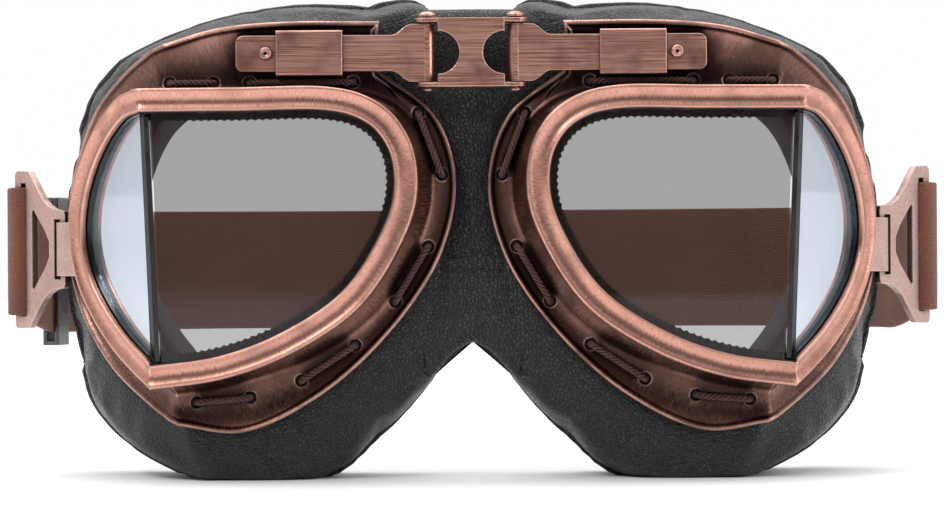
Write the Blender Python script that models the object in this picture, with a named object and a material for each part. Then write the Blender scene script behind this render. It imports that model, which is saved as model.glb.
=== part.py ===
"""Motorcycle goggles: two metal eye cups on a hinged bridge, a leather face pad and an elastic strap.

+Z is up, -Y is the front, and left is at -X. Lengths are in millimetres until a mesh is made.
A cup is drawn once, on the right, in a sheet that is flat in front and turned back at the temple:
a front point is (x, z), a temple point is (distance past the crease, z), and a depth is measured
backwards from the sheet. The sheet lies at the bezel's front face.
"""

import math

import bmesh
import bpy
from mathutils import Vector

MM = 0.001
FRONT = -63.875  # Y of the bezels' front face, so that front and back lie evenly about the origin
GAP = 0.35  # clearance between neighbouring pieces
MERGE = 0.02  # points nearer than this become one
SHARP = 35  # degrees, above which an edge is shaded sharp

# The sheet's crease, which leans a little, and the turn of the temple pane.
CREASE_FOOT = (71.3, 21.1)
CREASE_HEAD = (74.0, 87.6)
TURN = math.radians(47)

# Key points of the cup's outlines, matched by place: top crease, round the nose, bottom crease,
# and then the temple side.
BEZEL_FRONT = [(74.0, 87.6), (52, 87.7), (31.5, 87.7), (23.5, 85.8), (17.2, 81.5), (12.8, 73.8),
               (12.2, 62.8), (16.6, 51), (25.4, 38.6), (40.2, 28.8), (55, 23.4), (71.3, 21.1)]
BEZEL_SIDE = [(6.5, 25), (13.6, 30.2), (20.3, 37), (25.2, 44.5), (27.5, 53.5), (26.3, 63),
              (21.8, 72.4), (14.8, 80.6), (7, 86)]
FOOT_FRONT = [(69.0, 87.4), (52, 87.5), (31.5, 87.4), (22.3, 86.3), (15.4, 82.6), (10.5, 75.2),
              (9.6, 62.6), (13.9, 50), (22.9, 36.9), (38.6, 27.0), (54.6, 22.0), (66.2, 20.0)]
FOOT_SIDE = [(9.6, 24.2), (15.6, 29.0), (22.2, 36.0), (27.3, 43.8), (29.7, 53.4), (28.4, 63.6),
             (23.7, 73.4), (16.6, 81.6), (9.8, 85.8)]
RIM_FRONT = [(68.8, 98.0), (57, 101.4), (42.6, 102.8), (20.6, 102.8), (20.3, 91.6), (8.4, 82.4),
             (3.4, 68), (6.4, 51.7), (16.1, 36), (33, 19.9), (51.5, 11.0), (66.0, 12.6)]
RIM_SIDE = [(15.2, 17.6), (27, 24.9), (36, 34.7), (40.6, 44), (41.8, 54), (40.3, 65),
            (35.5, 75.1), (28.6, 84.5), (17.8, 92.0)]
MITRE = 5.0  # where the frame plate meets the crease's mitre, past the crease
STEP = 6.0  # spacing of the points along an outline

# Depths behind the bezel's front face.
BEZEL_DEPTH = 4.6
BEZEL_BAND = 5.2
METAL = 1.2
LENS_FRONT = 2.9
LENS_BACK = 4.5
PANE_EDGE = 1.6  # how far a pane reaches under the bezel's band
LIP_REACH = 1.2  # how far the gasket reaches behind the pane
SEAM_HALF = 0.4
SEAM_END = 1.0
COLLAR_TOP = 6.0
PLATE_FRONT = 11.2
PLATE_BACK = 12.2
BEAD_FRONT = 10.2
BEAD_BACK = 13.4
BEAD = 0.9  # width of the rolled bead on the rim
COLLAR_INSET = 2.8

# The lacing: each stitch lies on the frame plate between two holes.
CORD = 1.5
HOLE = 2.8
HOLE_RUN = 1.3  # how far before and after a hole the cord turns
DRILL_SPARE = 2.0  # how far a drill passes the sheet it cuts
CORD_FRONT = PLATE_FRONT - GAP - CORD / 2
CORD_REAR = PLATE_BACK + GAP + CORD / 2
STITCHES = [((67.4, 89.2), (57.6, 89.2)), ((49.6, 89.2), (26.4, 89.2)),
            ((11.9, 82.2), (6.7, 68.4)), ((9.9, 52.4), (17.3, 40.1)),
            ((26.3, 30.4), (38.4, 22.6)), ((49.8, 18.9), (61.8, 17.9))]
SIDE_STITCHES = [((17.4, 25.4), (26.4, 32.8)), ((31.0, 38.8), (34.2, 46.0)),
                 ((34.2, 62.6), (30.0, 73.4)), ((24.6, 81.0), (15.6, 86.8))]
AROUND_THE_FOOT = [(False, 66.4, 17.4), (True, 7.0, 19.6)]

# The bridge.
PIN_X = 9.8
PIN_DEPTH = 9.4
PIN_RADIUS = 0.75
PIN_HOLE = 1.1
PIN_HEAD = 1.9
PIN_FOOT = 86.9
BARREL_RADIUS = 1.6
LINK_TOP = 103.2
LINK_FOOT = 87.9
LINK_HALF = 7.4
LINK_CUT = 4.8
LINK_SHEET = 0.9
LINK_DEPTH = 6.4
EAR_RADIUS = 2.6
ARM_HALF = 4.0
ARM_FLARE = 6.4
ARM_Z = 95.5
ARM_SHEET = 1.3
ARM_DEPTH = 7.95
ARM_END = 52.4
ARM_CORNER = 1.6
FLARE_START = 17.8
FLARE_END = 13.4
FLARE_STEPS = 8
SLEEVE = (28.7, 43.4)
SLEEVE_WALL = 0.75
RIVET_X = 45.8
RIVET_HEAD = 1.5
RIVET_SHANK = 0.8
RIVET_BORE = 0.4
RIVET_HOLE = 1.15
TURNED_SIDES = 14

# The leather. Its silhouette is given as (x, z) round the cup, matched to the rim's keys.
LEATHER_DEPTH = 15.2
CUSHION_BACK = 46.0
CUSHION_FLARE = 0.42
CUSHION_FLARE_X = 52.0
NOSE_RELIEF = 8.0
NOSE_REACH = 30.0
BULGE_DEPTH = 3.0  # how far behind its seam the leather's front bulge lies
BULGE_SHARE = 0.75
SHOULDER_DEPTH = 5.5
HEEL = 5.0
REAR_INSET = 3.5
INNER_INSET = 2.0
INNER_SET_BACK = 1.5
LIP_INSET = 1.0
LIP_LEAST = 3.0
FOAM_SHEET = 3.2
FOAM_GAP = 0.6
SADDLE_HALF = 3.2
SADDLE = [(30.5, 15.4), (44, 14.6), (60, 14.8), (78, 14.6), (92, 14.6), (105.5, 16.0)]
SADDLE_SHEET = 7.0
SADDLE_STEP = 8.0
LEATHER_FRONT_KEYS = [(70, 99.8), (58, 103.4), (44, 105.8), (22, 107.2), (8, 106.6), (3.6, 88),
                      (3.6, 68), (3.6, 47), (4.6, 27.6), (21.5, 10.6), (39, -1.2), (61, -1.2)]
LEATHER_SIDE_KEYS = [(77, 6.8), (86, 15.2), (91.2, 26), (93.6, 38), (94.2, 52), (93.6, 66),
                     (91.8, 77.4), (87.6, 87.4), (80.4, 95.2)]

# Buckle and strap. The buckle turns on its neck bar, in the lug's curl.
LUG_AXIS = (43.6, 11.0)
LUG_TAIL = 36.5
LUG_Z = (46.2, 58.6)
LUG_SHEET = 0.9
NECK_BAR = 0.8
NECK_HALF = 9.0
NECK_SLOT = (3.4, 7.0)
WINDOW = [(5.4, 1.8), (7.0, 4.4), (11.6, 9.4), (12.1, 9.0)]
BUCKLE_EDGE = [(0.0, 9.0), (3.6, 9.3), (7.4, 11.4), (11.0, 15.6), (13.4, 18.3)]
BUCKLE_END = 18.8
EDGE_STEP = 2.4
STRAP_SLOT = (14.4, 16.6)
STRAP_SLOT_HALF = 15.6
BUCKLE_SHEET = 1.6
STRAP_Z = 52.0
STRAP_HALF = 15.0
STRAP_SHEET = 1.5
BAND_STEP = 9.0
LOOP_STEP = 4.0
STRAP_DROOP = 4.8
DROOP_START = 54.0
DROOP_END = 84.0
LOOP_END = 68.0
STRAP_ROUTE = [(105.6, 68.4), (103.3, 77.8), (100.7, 88.4), (96.6, 98), (88.6, 109.4),
               (74, 119.4), (52, 125.2), (26, 126.8), (0, 127)]
SLIDER_RUN = 1  # the part of the route that the slider lies on
SLIDER_AT = (80.0, 87.0)
SLIDER_HALF = 18.0
SLIDER_SHEET = 0.9

COPPER = ((0.42, 0.20, 0.14), 0.32, 1.0)
ROSE = ((0.42, 0.29, 0.26), 0.42, 1.0)
DARK_METAL = ((0.10, 0.09, 0.09), 0.40, 1.0)
BLACK_RUBBER = ((0.012, 0.012, 0.013), 0.30, 0.0)
SMOKE = ((0.20, 0.18, 0.17), 0.06, 0.0)
MIRROR = ((0.55, 0.58, 0.62), 0.05, 0.6)
LEATHER = ((0.022, 0.020, 0.021), 0.45, 0.0)
FOAM = ((0.010, 0.010, 0.010), 0.95, 0.0)
CORD_BROWN = ((0.060, 0.020, 0.014), 0.80, 0.0)
WEBBING = ((0.22, 0.080, 0.050), 0.85, 0.0)


def clear_scene():
    for obj in list(bpy.data.objects):
        bpy.data.objects.remove(obj, do_unlink=True)


def material(name, look):
    colour, roughness, metallic = look
    made = bpy.data.materials.new(name)
    made.use_nodes = True
    shader = made.node_tree.nodes["Principled BSDF"]
    shader.inputs["Base Color"].default_value = (*colour, 1.0)
    shader.inputs["Roughness"].default_value = roughness
    shader.inputs["Metallic"].default_value = metallic
    return made


def finish_object(name, look, bm, smooth=True):
    """The named object of a bmesh whose points are in millimetres."""
    bmesh.ops.scale(bm, vec=(MM, MM, MM), verts=bm.verts)
    bmesh.ops.recalc_face_normals(bm, faces=bm.faces)
    mesh = bpy.data.meshes.new(name)
    bm.to_mesh(mesh)
    bm.free()
    mesh.materials.append(material(name, look))
    if smooth:
        mesh.shade_smooth()
        mesh.set_sharp_from_angle(angle=math.radians(SHARP))
    obj = bpy.data.objects.new(name, mesh)
    bpy.context.scene.collection.objects.link(obj)
    return obj


# Outlines


def spline(points, step=STEP):
    """Points about a step apart along a centripetal Catmull-Rom curve through the given points."""
    points = [Vector(point) for point in points]
    ends = [2 * points[0] - points[1]] + points + [2 * points[-1] - points[-2]]
    found = [points[0]]
    for a, b, c, d in zip(ends, ends[1:], ends[2:], ends[3:]):
        parts = max(1, round((c - b).length / step))
        found += [catmull(a, b, c, d, (i + 1) / parts) for i in range(parts)]
    return found


def catmull(a, b, c, d, t):
    knots = [0.0]
    for p, q in ((a, b), (b, c), (c, d)):
        knots.append(knots[-1] + math.sqrt((q - p).length))
    t0, t1, t2, t3 = knots
    at = t1 + t * (t2 - t1)

    def mix(p, q, start, end):
        return p * ((end - at) / (end - start)) + q * ((at - start) / (end - start))

    a1, a2, a3 = mix(a, b, t0, t1), mix(b, c, t1, t2), mix(c, d, t2, t3)
    return mix(mix(a1, a2, t0, t2), mix(a2, a3, t1, t3), t1, t2)


def crease_x(z):
    share = (z - CREASE_FOOT[1]) / (CREASE_HEAD[1] - CREASE_FOOT[1])
    return CREASE_FOOT[0] + share * (CREASE_HEAD[0] - CREASE_FOOT[0])


def parts_between(keys):
    return [max(1, round((Vector(b) - Vector(a)).length / STEP)) for a, b in zip(keys, keys[1:])]


# How many steps lie between one key and the next, which all the outlines share.
FRONT_PARTS = parts_between(BEZEL_FRONT)
SIDE_PARTS = parts_between([(0, BEZEL_FRONT[-1][1])] + BEZEL_SIDE + [(0, BEZEL_FRONT[0][1])])


def along(keys, parts, corners=()):
    """The outline's points, with the agreed number of steps between two keys. A corner stays sharp."""
    points = [Vector(key) for key in keys]
    ends = [2 * points[0] - points[1]] + points + [2 * points[-1] - points[-2]]
    found = [points[0]]
    for i, count in enumerate(parts):
        a, b, c, d = ends[i:i + 4]
        a = 2 * b - c if i in corners else a
        d = 2 * c - b if i + 1 in corners else d
        found += [catmull(a, b, c, d, (j + 1) / count) for j in range(count)]
    return found


def outline(front, side, corners=(), mitre=0.0):
    """A closed outline as (is it past the crease, first coordinate, z).

    A piece that lies deeper than the sheet reaches the crease's mitre before the crease itself.
    """
    fore = along(front, FRONT_PARTS, corners)
    aft = along([(mitre, front[-1][1])] + side + [(mitre, front[0][1])], SIDE_PARTS)
    return [(False, p.x, p.y) for p in fore] + [(True, p.x, p.y) for p in aft[1:-1]]


def offset(points, distance):
    """The outline moved outwards by the distance, square to its own direction."""
    count = len(points)
    flat = [Vector((crease_x(z) + u if past else u, z)) for past, u, z in points]
    crease = max(i for i, point in enumerate(points) if not point[0])
    moved = []
    for i, (past, u, z) in enumerate(points):
        if i in (0, crease):
            rise = distance if i == 0 else -distance
            moved.append((False, u + crease_x(z + rise) - crease_x(z), z + rise))
            continue
        tangent = flat[(i + 1) % count] - flat[i - 1]
        normal = Vector((tangent.y, -tangent.x)).normalized() * distance
        at = flat[i] + normal
        moved.append((past, at.x - crease_x(at.y) if past else at.x, at.y))
    return moved


def place(point, depth):
    """The 3-D point at a depth behind the sheet. Points too near the crease meet on its mitre."""
    past, u, z = point
    crease = crease_x(z)
    reach = depth * math.tan(TURN / 2)
    if not past:
        return Vector((min(u, crease - reach), FRONT + depth, z))
    d = max(u, reach)
    x = crease + d * math.cos(TURN) - depth * math.sin(TURN)
    y = FRONT + d * math.sin(TURN) + depth * math.cos(TURN)
    return Vector((x, y, z))


# Solids


def add_loop(bm, points):
    return [bm.verts.new(point) for point in points]


def join_loops(bm, first, second):
    count = len(first)
    for i in range(count):
        j = (i + 1) % count
        bm.faces.new((first[i], first[j], second[j], second[i]))


def ring_solid(loops):
    """A closed ring from loops of 3-D points, each joined to the next and the last to the first."""
    bm = bmesh.new()
    made = [add_loop(bm, loop) for loop in loops]
    for first, second in zip(made, made[1:] + made[:1]):
        join_loops(bm, first, second)
    bmesh.ops.remove_doubles(bm, verts=bm.verts, dist=MERGE)
    return bm


def prism(outer, shift):
    """A flat polygon of 3-D points, extruded by the shift."""
    bm = bmesh.new()
    face = bm.faces.new(add_loop(bm, outer))
    made = bmesh.ops.extrude_face_region(bm, geom=[face])
    moved = [item for item in made["geom"] if isinstance(item, bmesh.types.BMVert)]
    bmesh.ops.translate(bm, vec=shift, verts=moved)
    return bm


def box(bm, low, high):
    size = [b - a for a, b in zip(low, high)]
    made = bmesh.ops.create_cube(bm, size=1)
    bmesh.ops.scale(bm, vec=size, verts=made["verts"])
    centre = [(a + b) / 2 for a, b in zip(low, high)]
    bmesh.ops.translate(bm, vec=centre, verts=made["verts"])


def cylinder(radius, start, end, sides=12):
    bm = bmesh.new()
    start = Vector(start)
    run = Vector(end) - start
    bmesh.ops.create_cone(bm, cap_ends=True, segments=sides, radius1=radius, radius2=radius,
                          depth=run.length)
    turn = run.to_track_quat("Z", "Y")
    bmesh.ops.rotate(bm, cent=(0, 0, 0), matrix=turn.to_matrix(), verts=bm.verts)
    bmesh.ops.translate(bm, vec=start + run / 2, verts=bm.verts)
    return bm


def helper(name, bm):
    obj = finish_object(name, DARK_METAL, bm, smooth=False)
    obj.hide_render = True
    obj.display_type = "WIRE"
    return obj


def boolean(obj, operation, other):
    modifier = obj.modifiers.new(other.name, "BOOLEAN")
    modifier.operation = operation
    modifier.object = other
    modifier.solver = "EXACT"


def mirror_point(point, sign):
    return Vector((point[0] * sign, point[1], point[2]))


def flip(bm, sign):
    """The right-hand piece as it is, or turned into the left-hand one."""
    if sign < 0:
        bmesh.ops.scale(bm, vec=(-1, 1, 1), verts=bm.verts)
    return bm


# The eye cup

BEZEL = outline(BEZEL_FRONT, BEZEL_SIDE)
FOOT = outline(FOOT_FRONT, FOOT_SIDE, mitre=MITRE)
RIM = outline(RIM_FRONT, RIM_SIDE, corners=(3, 4), mitre=MITRE)


def layer(points, distance, depth):
    return [place(point, depth) for point in (offset(points, distance) if distance else points)]


def make_bezel(side, sign):
    profile = [(-BEZEL_BAND, METAL), (-BEZEL_BAND, 0.5), (-BEZEL_BAND + 0.5, 0),
               (-BEZEL_BAND / 2, 0.25), (-0.6, 0), (0, 0.6), (0.1, BEZEL_DEPTH),
               (-METAL, BEZEL_DEPTH), (-METAL, METAL)]
    loops = [layer(BEZEL, distance, depth) for distance, depth in profile]
    return finish_object(side + "_bezel", COPPER, flip(ring_solid(loops), sign))


def stitch_ends():
    ends = []
    for start, end in STITCHES:
        ends += [(False, *start), (False, *end)]
    for start, end in SIDE_STITCHES:
        ends += [(True, *start), (True, *end)]
    return ends


def make_plate(side, sign):
    rise = offset(RIM, -BEAD - 0.5)
    collar = offset(BEZEL, -COLLAR_INSET)
    loops = [layer(FOOT, 0, PLATE_FRONT), layer(collar, METAL, COLLAR_TOP),
             layer(collar, 0.2, COLLAR_TOP),
             layer(FOOT, -METAL, PLATE_BACK), layer(rise, 0, PLATE_BACK),
             layer(RIM, -BEAD, BEAD_BACK), layer(RIM, 0, BEAD_BACK - 0.4),
             layer(RIM, 0, BEAD_FRONT + 0.5), layer(RIM, -0.4, BEAD_FRONT),
             layer(RIM, -BEAD, BEAD_FRONT + 0.2), layer(rise, 0, PLATE_FRONT)]
    obj = finish_object(side + "_frame_plate", COPPER, flip(ring_solid(loops), sign))
    cutters = bmesh.new()
    for end in stitch_ends():
        start, stop = place(end, PLATE_FRONT - DRILL_SPARE), place(end, PLATE_BACK + DRILL_SPARE)
        drill = cylinder(HOLE / 2, start, stop, sides=8)
        mesh = bpy.data.meshes.new("drill")
        drill.to_mesh(mesh)
        drill.free()
        cutters.from_mesh(mesh)
        bpy.data.meshes.remove(mesh)
    boolean(obj, "DIFFERENCE", helper(side + "_lacing_drill", flip(cutters, sign)))
    return obj


def make_gasket(side, sign):
    lip = -BEZEL_BAND - 0.3
    seat = -BEZEL_BAND + PANE_EDGE
    profile = [(lip, METAL + GAP), (-METAL - GAP, METAL + GAP), (-METAL - GAP, COLLAR_TOP - GAP),
               (lip - LIP_REACH, COLLAR_TOP - GAP), (lip - LIP_REACH, LENS_BACK + GAP),
               (seat, LENS_BACK + GAP), (seat, LENS_FRONT - GAP), (lip, LENS_FRONT - GAP)]
    loops = [layer(BEZEL, distance, depth) for distance, depth in profile]
    return finish_object(side + "_gasket", BLACK_RUBBER, flip(ring_solid(loops), sign))


def crossing(edge, first, second, reach):
    """The point of the edge, between two of its points, at a distance from the crease."""
    ends = []
    for past, u, z in (edge[first], edge[second]):
        ends.append((u if past else u - crease_x(z), z))
    (d1, z1), (d2, z2) = ends
    z = z1 + (reach - d1) / (d2 - d1) * (z2 - z1)
    return (True, reach, z) if reach > 0 else (False, crease_x(z) + reach, z)


def make_panes(side, sign):
    """The front and the temple pane, each a flat polygon inside the gasket that stops at the seam."""
    edge = offset(BEZEL, -BEZEL_BAND + PANE_EDGE - GAP)
    crease = max(i for i, point in enumerate(edge) if not point[0])
    reach = LENS_BACK * math.tan(TURN / 2) + SEAM_HALF + GAP
    front = [crossing(edge, 0, 1, -reach)] + edge[1:crease]
    front.append(crossing(edge, crease - 1, crease, -reach))
    beyond = [point for point in edge[crease + 1:] if point[1] > reach]
    first, last = edge.index(beyond[0]), edge.index(beyond[-1])
    temple = [crossing(edge, first - 1, first, reach)] + beyond
    temple.append(crossing(edge, last, (last + 1) % len(edge), reach))
    for found, name, look in ((front, "_front_lens", SMOKE), (temple, "_side_lens", MIRROR)):
        face = [place(point, LENS_FRONT) for point in found]
        far = found[len(found) // 2]
        shift = place(far, LENS_BACK) - place(far, LENS_FRONT)
        finish_object(side + name, look, flip(prism(face, shift), sign))


def make_seam_strip(side, sign):
    head = BEZEL_FRONT[0][1] - BEZEL_BAND - SEAM_END
    foot = BEZEL_FRONT[-1][1] + BEZEL_BAND + SEAM_END
    half = LENS_BACK * math.tan(TURN / 2) + SEAM_HALF
    bm = bmesh.new()
    loops = []
    for z in (foot, head):
        front = [place((False, crease_x(z) - half, z), LENS_FRONT),
                 place((False, crease_x(z), z), LENS_FRONT), place((True, half, z), LENS_FRONT)]
        rear = [place((True, half, z), LENS_BACK), place((False, crease_x(z), z), LENS_BACK),
                place((False, crease_x(z) - half, z), LENS_BACK)]
        loops.append(add_loop(bm, front + rear))
    join_loops(bm, loops[0], loops[1])
    bm.faces.new(loops[0])
    bm.faces.new(loops[1])
    return finish_object(side + "_seam_strip", BLACK_RUBBER, flip(bm, sign))


def smoothed_path(obj_name, look, points, radius):
    """A tube along the points, in millimetres."""
    curve = bpy.data.curves.new(obj_name, "CURVE")
    curve.dimensions = "3D"
    curve.bevel_depth = radius * MM
    curve.bevel_resolution = 2
    curve.use_fill_caps = True
    path = curve.splines.new("POLY")
    path.points.add(len(points) - 1)
    for knot, point in zip(path.points, points):
        knot.co = (*(Vector(point) * MM), 1.0)
    curve.materials.append(material(obj_name, look))
    obj = bpy.data.objects.new(obj_name, curve)
    bpy.context.scene.collection.objects.link(obj)
    return obj


def sheet_point(start, end, distance):
    """A point on the sheet, at a distance from the start towards the end, both on one pane."""
    a, b = Vector(start[1:]), Vector(end[1:])
    at = a + (b - a).normalized() * distance
    return (start[0], at.x, at.y)


def lacing_route():
    """Through every stitch: up through its first hole, along the plate, and down the second."""
    stitches = [((False, *a), (False, *b)) for a, b in STITCHES]
    temple = [((True, *a), (True, *b)) for a, b in SIDE_STITCHES]
    route = []
    for start, end in stitches + temple:
        if (start, end) == temple[0]:
            route += [place(point, CORD_REAR) for point in AROUND_THE_FOOT]
        through = (CORD_REAR - CORD_FRONT) / 6
        for at, towards, turn in ((start, end, 1), (end, start, -1)):
            down = [(-HOLE_RUN, CORD_REAR), (-0.5, CORD_REAR - through),
                    (0.5, CORD_FRONT + through), (HOLE_RUN, CORD_FRONT)]
            for distance, depth in down[::turn]:
                route.append(place(sheet_point(at, towards, distance), depth))
    return route


def make_lacing(side, sign):
    route = [mirror_point(point, sign) for point in lacing_route()]
    smoothed_path(side + "_lacing", CORD_BROWN, route, CORD / 2)


LEATHER_KEYS = along(LEATHER_FRONT_KEYS, FRONT_PARTS)
LEATHER_KEYS += along([LEATHER_FRONT_KEYS[-1]] + LEATHER_SIDE_KEYS + [LEATHER_FRONT_KEYS[0]],
                      SIDE_PARTS)[1:-1]


def back_depth(x):
    return CUSHION_BACK + CUSHION_FLARE * max(0.0, x - CUSHION_FLARE_X)


def relieved(point):
    """The point moved off the nose, more the further back it lies."""
    near = min(1.0, max(0.0, (NOSE_REACH - point.x) / (NOSE_REACH - SADDLE_HALF)))
    depth = max(0.0, point.y - FRONT - LEATHER_DEPTH)
    shift = NOSE_RELIEF * near * depth / (CUSHION_BACK - LEATHER_DEPTH)
    return Vector((point.x + shift, point.y, max(point.z, 0.0)))


EYE = Vector((46.0, 0.0, 56.0))  # the middle of the eye hollow


def towards_eye(point, distance):
    """The point moved towards the middle of the eye hollow, in the upright plane."""
    way = Vector((EYE.x - point.x, 0, EYE.z - point.z))
    return point + way.normalized() * distance


def at_depth(point, depth):
    return Vector((point.x, FRONT + depth, point.z))


def cushion_loops():
    seam = layer(RIM, -0.6, BEAD_BACK + GAP)
    groove = layer(RIM, -2.2, LEATHER_DEPTH)
    wall = layer(FOOT, 0, LEATHER_DEPTH)
    loops = [[] for _ in range(9)]
    for i, outer in enumerate(LEATHER_KEYS):
        silhouette = Vector((outer.x, 0, outer.y))
        back = back_depth(outer.x)
        start = seam[i].y - FRONT
        bulge = seam[i].lerp(at_depth(silhouette, start + BULGE_DEPTH), BULGE_SHARE)
        shoulder = at_depth(silhouette, start + SHOULDER_DEPTH)
        heel = at_depth(silhouette, back - HEEL)
        rear = towards_eye(at_depth(silhouette, back), REAR_INSET)
        inner = towards_eye(at_depth(wall[i], back - INNER_SET_BACK), INNER_INSET)
        lip_depth = max(back - HEEL, wall[i].y - FRONT + LIP_LEAST)
        lip = towards_eye(at_depth(wall[i], lip_depth), LIP_INSET)
        row = [seam[i], bulge, shoulder, heel, rear, inner, lip, wall[i], groove[i]]
        for loop, point in zip(loops, row):
            loop.append(relieved(point))
    return loops


def make_cushion(side, sign):
    finish_object(side + "_cushion", LEATHER, flip(ring_solid(cushion_loops()), sign))


def make_foam(side, sign):
    loops = cushion_loops()
    lip, wall = loops[6], loops[7]
    front = [towards_eye(point + Vector((0, 1.0, 0)), FOAM_GAP) for point in wall]
    rear = [towards_eye(point, FOAM_GAP) for point in lip]
    inner_rear = [towards_eye(point, FOAM_SHEET) for point in rear]
    inner_front = [towards_eye(point, FOAM_SHEET) for point in front]
    finish_object(side + "_foam_liner", FOAM,
                  flip(ring_solid([front, rear, inner_rear, inner_front]), sign))


# The bridge


def upright(points, depth, thickness):
    """A flat plate of (x, z) points that faces the front."""
    outer = [Vector((x, FRONT + depth, z)) for x, z in points]
    return prism(outer, Vector((0, thickness, 0)))


def arc(centre, radius, start, end, steps):
    """Points on an arc, with angles in degrees."""
    found = []
    for i in range(steps + 1):
        angle = math.radians(start + (end - start) * i / steps)
        found.append((centre[0] + radius * math.cos(angle), centre[1] + radius * math.sin(angle)))
    return found


def make_link():
    right = [(LINK_HALF, LINK_TOP)]
    right += arc((LINK_HALF, ARM_Z), LINK_CUT, 90, 270, 16)
    right.append((LINK_HALF, LINK_FOOT))
    left = [(-x, z) for x, z in reversed(right)]
    link = finish_object("bridge_link", COPPER, upright(right + left, LINK_DEPTH, LINK_SHEET))
    for name, z in (("upper_ears", LINK_TOP - LINK_SHEET), ("lower_ears", LINK_FOOT)):
        half = [(LINK_HALF, LINK_DEPTH + 0.05)]
        half += arc((PIN_X, PIN_DEPTH), EAR_RADIUS, -60, 90, 10)
        shape = half + [(-x, depth) for x, depth in reversed(half)]
        outer = [Vector((x, FRONT + depth, z)) for x, depth in shape]
        boolean(link, "UNION", helper(name, prism(outer, Vector((0, 0, LINK_SHEET)))))
    for side, sign in (("left", -1), ("right", 1)):
        start = (sign * PIN_X, FRONT + PIN_DEPTH, LINK_FOOT - 1)
        end = (sign * PIN_X, FRONT + PIN_DEPTH, LINK_TOP + 1)
        boolean(link, "DIFFERENCE", helper(side + "_ear_drill", cylinder(PIN_HOLE, start, end)))


def arm_outline():
    """The arm's outline: a tab with round corners, and an S-shaped flare to the barrel."""
    end = ARM_END - ARM_CORNER
    top = arc((end, ARM_Z + ARM_HALF - ARM_CORNER), ARM_CORNER, 0, 90, 4)
    for i in range(FLARE_STEPS + 1):
        share = i / FLARE_STEPS
        rise = (1 - math.cos(math.pi * share)) / 2
        x = FLARE_START + share * (FLARE_END - FLARE_START)
        top.append((x, ARM_Z + ARM_HALF + rise * (ARM_FLARE - ARM_HALF)))
    top.append((PIN_X + 0.2, ARM_Z + ARM_FLARE))
    return top + [(x, 2 * ARM_Z - z) for x, z in reversed(top)]


def make_arm(side, sign):
    arm = finish_object(side + "_arm", COPPER, flip(upright(arm_outline(), ARM_DEPTH, ARM_SHEET), sign))
    foot = (sign * PIN_X, FRONT + PIN_DEPTH, ARM_Z - ARM_FLARE - 0.01)
    head = (sign * PIN_X, FRONT + PIN_DEPTH, ARM_Z + ARM_FLARE + 0.01)
    boolean(arm, "UNION", helper(side + "_barrel", cylinder(BARREL_RADIUS, foot, head, 18)))
    low, high = Vector(foot) - Vector((0, 0, 1)), Vector(head) + Vector((0, 0, 1))
    boolean(arm, "DIFFERENCE", helper(side + "_pin_drill", cylinder(PIN_HOLE, low, high)))
    near = (sign * RIVET_X, FRONT + ARM_DEPTH - 1, ARM_Z)
    far = (sign * RIVET_X, FRONT + ARM_DEPTH + 3, ARM_Z)
    boolean(arm, "DIFFERENCE", helper(side + "_rivet_drill", cylinder(RIVET_HOLE, near, far)))


def turned(profile, axis_point, axis):
    """A solid turned from (radius, height) points about an axis through a point."""
    bm = bmesh.new()
    turn = Vector(axis).to_track_quat("Z", "Y")
    loops = []
    for radius, height in profile:
        ring = []
        for i in range(TURNED_SIDES):
            angle = 2 * math.pi * i / TURNED_SIDES
            spot = Vector((radius * math.cos(angle), radius * math.sin(angle), height))
            ring.append(Vector(axis_point) + turn @ spot)
        loops.append(add_loop(bm, ring))
    return bm, loops


def closed_turning(profile, axis_point, axis):
    """The turned solid with its two ends capped."""
    bm, loops = turned(profile, axis_point, axis)
    for first, second in zip(loops, loops[1:]):
        join_loops(bm, first, second)
    bm.faces.new(loops[0])
    bm.faces.new(loops[-1])
    return bm


def make_pin(side, sign):
    head = LINK_TOP + GAP
    foot = LINK_FOOT - GAP
    profile = [(1.0, PIN_FOOT), (1.35, PIN_FOOT + 0.25), (1.35, foot), (PIN_RADIUS, foot),
               (PIN_RADIUS, head), (PIN_HEAD, head), (PIN_HEAD, head + 0.5),
               (PIN_HEAD - 0.5, head + 1.0), (PIN_HEAD - 1.2, head + 1.2)]
    at = (sign * PIN_X, FRONT + PIN_DEPTH, 0)
    finish_object(side + "_hinge_pin", COPPER, closed_turning(profile, at, (0, 0, 1)))


def make_rivet(side, sign):
    """A tubular rivet through the arm's tab, with a rolled head."""
    front = ARM_DEPTH - GAP
    back = ARM_DEPTH + ARM_SHEET + GAP
    profile = [(RIVET_BORE, front - 0.55), (0.8, front - 0.7), (1.2, front - 0.6),
               (RIVET_HEAD, front - 0.3), (RIVET_HEAD, front), (RIVET_SHANK, front),
               (RIVET_SHANK, back), (RIVET_HEAD - 0.2, back), (RIVET_HEAD - 0.3, back + 0.4),
               (RIVET_BORE, back + 0.5)]
    at = (sign * RIVET_X, FRONT, ARM_Z)
    bm, loops = turned(profile, at, (0, 1, 0))
    for first, second in zip(loops, loops[1:] + loops[:1]):
        join_loops(bm, first, second)
    finish_object(side + "_stop_rivet", COPPER, bm)


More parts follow.
